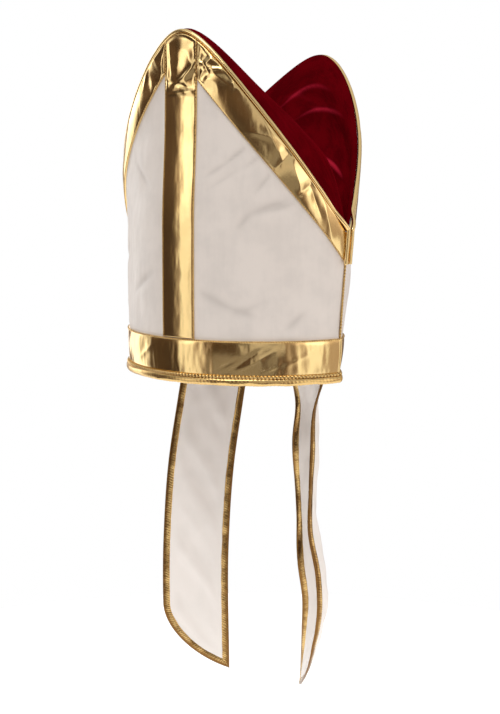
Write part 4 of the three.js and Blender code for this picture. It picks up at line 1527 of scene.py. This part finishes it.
def build_world():
    """A white studio whose walls are dim and warm in places, so that the gold has contrast."""
    world = bpy.data.worlds.new("studio")
    bpy.context.scene.world = world
    world.use_nodes = True
    graph = Graph(world.node_tree)
    place = graph.node("ShaderNodeTexCoord").outputs["Generated"]
    axes = graph.node("ShaderNodeSeparateXYZ", None, {"Vector": place}).outputs
    x, y, z = (Value(graph, axis) for axis in axes)
    azimuth = graph.math("ARCTAN2", x, 0 - y) * (180 / math.pi)
    brightest = max(light for _, light in STUDIO_WALLS)
    stops = []
    for angle, light in STUDIO_WALLS:
        tint = mix(np.array(DIM_TINT), np.array(BRIGHT_TINT), min(light, 1))
        stops.append((0.5 + angle / 360, tuple(tint * light / brightest)))
    walls = graph.node("ShaderNodeValToRGB", {"stops": stops}, {"Fac": azimuth * (1 / 360) + 0.5})
    on_walls = 1 - graph.range(z, *WALL_TOP)
    screen = graph.between(azimuth, *SCREEN["sides"]) * graph.range(z, *SCREEN["foot"])
    glow = graph.between(azimuth, *GLOW["sides"]) * (1 - graph.range(z, *GLOW["top"]))
    ceiling = CEILING["light"] * graph.range(z, *CEILING["foot"])
    added = (SCREEN["light"] * screen + GLOW["light"] * glow) * on_walls + ceiling
    eye_level = graph.between(z, *EYE_LEVEL["heights"])
    strength = on_walls * (1 + EYE_LEVEL["light"] * eye_level) * brightest
    studio = graph.node("ShaderNodeBackground", None, {"Color": walls.outputs[0], "Strength": strength})
    lamps = graph.node("ShaderNodeBackground", None, {"Color": BRIGHT_TINT, "Strength": added})
    light = graph.node("ShaderNodeAddShader", None, {0: studio.outputs[0], 1: lamps.outputs[0]})
    backdrop = graph.node("ShaderNodeBackground", None, {"Color": (1.0, 1.0, 1.0), "Strength": 1.0})
    seen = graph.node("ShaderNodeLightPath").outputs["Is Camera Ray"]
    chosen = graph.node("ShaderNodeMixShader", None, {0: seen, 1: light.outputs[0], 2: backdrop.outputs[0]})
    graph.node("ShaderNodeOutputWorld", None, {"Surface": chosen.outputs[0]})


def build_camera(stage):
    """The camera, from its direction and the pixel where it sees the middle of the head opening."""
    azimuth, pitch = stage.camera_azimuth, stage.camera_pitch
    right = Vector((math.cos(azimuth), math.sin(azimuth), 0))
    forward = Vector(
        (-math.sin(azimuth) * math.cos(pitch), math.cos(azimuth) * math.cos(pitch), -math.sin(pitch))
    )
    up = right.cross(forward)
    across = (stage.origin_x - IMAGE_WIDTH / 2) / stage.focal_pixels * stage.camera_distance
    above = (IMAGE_HEIGHT / 2 - stage.origin_y) / stage.focal_pixels * stage.camera_distance
    data = bpy.data.cameras.new("photo_camera")
    data.sensor_width = 36
    data.lens = data.sensor_width * stage.focal_pixels / IMAGE_HEIGHT
    camera = bpy.data.objects.new("photo_camera", data)
    place = -(right * across + up * above + forward * stage.camera_distance)
    axes = Matrix((right, up, -forward)).transposed().to_4x4()
    camera.matrix_world = Matrix.Translation(place) @ axes
    bpy.context.scene.collection.objects.link(camera)
    bpy.context.scene.camera = camera


def build_floor(mitre):
    """A round pale floor under the lappets."""
    stage = mitre.stage
    sides = 96
    low = min(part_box("left_lappet_binding")[0].z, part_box("right_lappet_binding")[0].z)
    angle = 2 * math.pi * np.arange(sides) / sides
    rim = stage.floor_radius * np.stack([np.cos(angle), np.sin(angle), 0 * angle], -1)
    mesh = bpy.data.meshes.new("floor")
    mesh.from_pydata(rim.tolist(), [], [list(range(sides))])
    mesh.materials.append(floor_material(mitre))
    floor = bpy.data.objects.new("floor", mesh)
    floor.location.z = low - stage.floor_height
    bpy.context.scene.collection.objects.link(floor)


# Operators


def build_each(context, build, places):
    """Builds a piece on each side or at each hand."""
    for place in places:
        build(context.scene.mitre, place)
    return {"FINISHED"}


class MITRE_OT_panels(bpy.types.Operator):
    """Build the white satin front and back panels"""

    bl_idname = "mitre.panels"
    bl_label = "Satin panels"

    def execute(self, context):
        return build_each(context, build_panel, SIDES)


class MITRE_OT_crown(bpy.types.Operator):
    """Build the crimson velvet crown between the two horns"""

    bl_idname = "mitre.crown"
    bl_label = "Velvet crown"

    def execute(self, context):
        build_crown(context.scene.mitre)
        return {"FINISHED"}


class MITRE_OT_centre_bands(bpy.types.Operator):
    """Build the upright gold bands and their stitches"""

    bl_idname = "mitre.centre_bands"
    bl_label = "Centre bands"

    def execute(self, context):
        return build_each(context, build_centre_band, SIDES)


class MITRE_OT_edge_bands(bpy.types.Operator):
    """Build the slanted gold bands and their stitches"""

    bl_idname = "mitre.edge_bands"
    bl_label = "Slanted bands"

    def execute(self, context):
        for side in SIDES:
            for hand in HANDS:
                build_edge_band(context.scene.mitre, side, hand)
        return {"FINISHED"}


class MITRE_OT_rim_bands(bpy.types.Operator):
    """Build the wide gold bands round the head and their stitches"""

    bl_idname = "mitre.rim_bands"
    bl_label = "Rim bands"

    def execute(self, context):
        return build_each(context, build_rim_band, SIDES)


class MITRE_OT_rim_bindings(bpy.types.Operator):
    """Build the rolled lower edge and its cord of stitches"""

    bl_idname = "mitre.rim_bindings"
    bl_label = "Rim bindings"

    def execute(self, context):
        return build_each(context, build_rim_binding, SIDES)


class MITRE_OT_pipings(bpy.types.Operator):
    """Build the rolled gold edges of the two horns"""

    bl_idname = "mitre.pipings"
    bl_label = "Edge piping"

    def execute(self, context):
        return build_each(context, build_piping, SIDES)


class MITRE_OT_seam_cords(bpy.types.Operator):
    """Build the thin gold cords in the side seams"""

    bl_idname = "mitre.seam_cords"
    bl_label = "Seam cords"

    def execute(self, context):
        return build_each(context, build_seam_cord, HANDS)


class MITRE_OT_lappets(bpy.types.Operator):
    """Build the two hanging lappets with their gold bindings"""

    bl_idname = "mitre.lappets"
    bl_label = "Lappets"

    def execute(self, context):
        mitre = context.scene.mitre
        for hand in HANDS:
            cloth = build_lappet(mitre, hand)
            binding = build_lappet_binding(mitre, hand)
            flat_area(LappetShape(mitre, hand))
        return {"FINISHED"}


class MITRE_OT_stage(bpy.types.Operator):
    """Set up the floor, the soft lights and the camera"""

    bl_idname = "mitre.stage"
    bl_label = "Stage"

    def execute(self, context):
        mitre = context.scene.mitre
        context.scene.view_settings.view_transform = "Standard"
        build_world()
        build_floor(mitre)
        add_softbox(
            "overhead softbox", azimuth=12, elevation=55, distance=1.9, width=0.9, height=0.9, radiance=4.0
        )
        build_camera(mitre.stage)
        return {"FINISHED"}


OPERATORS = (
    MITRE_OT_panels,
    MITRE_OT_crown,
    MITRE_OT_centre_bands,
    MITRE_OT_edge_bands,
    MITRE_OT_rim_bands,
    MITRE_OT_rim_bindings,
    MITRE_OT_pipings,
    MITRE_OT_seam_cords,
    MITRE_OT_lappets,
    MITRE_OT_stage,
)


class MITRE_PT_pieces(bpy.types.Panel):
    """The mitre's pieces and settings"""

    bl_idname = "MITRE_PT_pieces"
    bl_label = "Bishop mitre"
    bl_space_type = "VIEW_3D"
    bl_region_type = "UI"
    bl_category = "Mitre"

    def draw(self, context):
        layout = self.layout
        for operator in OPERATORS:
            layout.operator(operator.bl_idname)
        mitre = context.scene.mitre
        for group in (mitre.body, mitre.trim, mitre.velvet, mitre.lappets, mitre.colours, mitre.stage):
            box = layout.box()
            for name in group.__annotations__:
                box.prop(group, name)


GROUPS = (MitreBody, MitreTrim, MitreVelvet, MitreLappets, MitreColours, MitreStage, Mitre)
CLASSES = GROUPS + OPERATORS + (MITRE_PT_pieces,)


def register():
    """Adds the classes and the scene's settings."""
    for cls in CLASSES:
        bpy.utils.register_class(cls)
    bpy.types.Scene.mitre = bpy.props.PointerProperty(
        type=Mitre, name="Mitre", description="The mitre's settings"
    )


def unregister():
    """Takes them away again."""
    del bpy.types.Scene.mitre
    for cls in reversed(CLASSES):
        bpy.utils.unregister_class(cls)


def main():
    """Builds every piece and the stage."""
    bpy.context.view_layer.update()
    register()
    bpy.ops.mitre.panels()
    bpy.ops.mitre.crown()
    bpy.ops.mitre.centre_bands()
    bpy.ops.mitre.edge_bands()
    bpy.ops.mitre.rim_bands()
    bpy.ops.mitre.rim_bindings()
    bpy.ops.mitre.pipings()
    bpy.ops.mitre.seam_cords()
    bpy.ops.mitre.lappets()
    bpy.ops.mitre.stage()


if __name__ == "__main__":
    main()
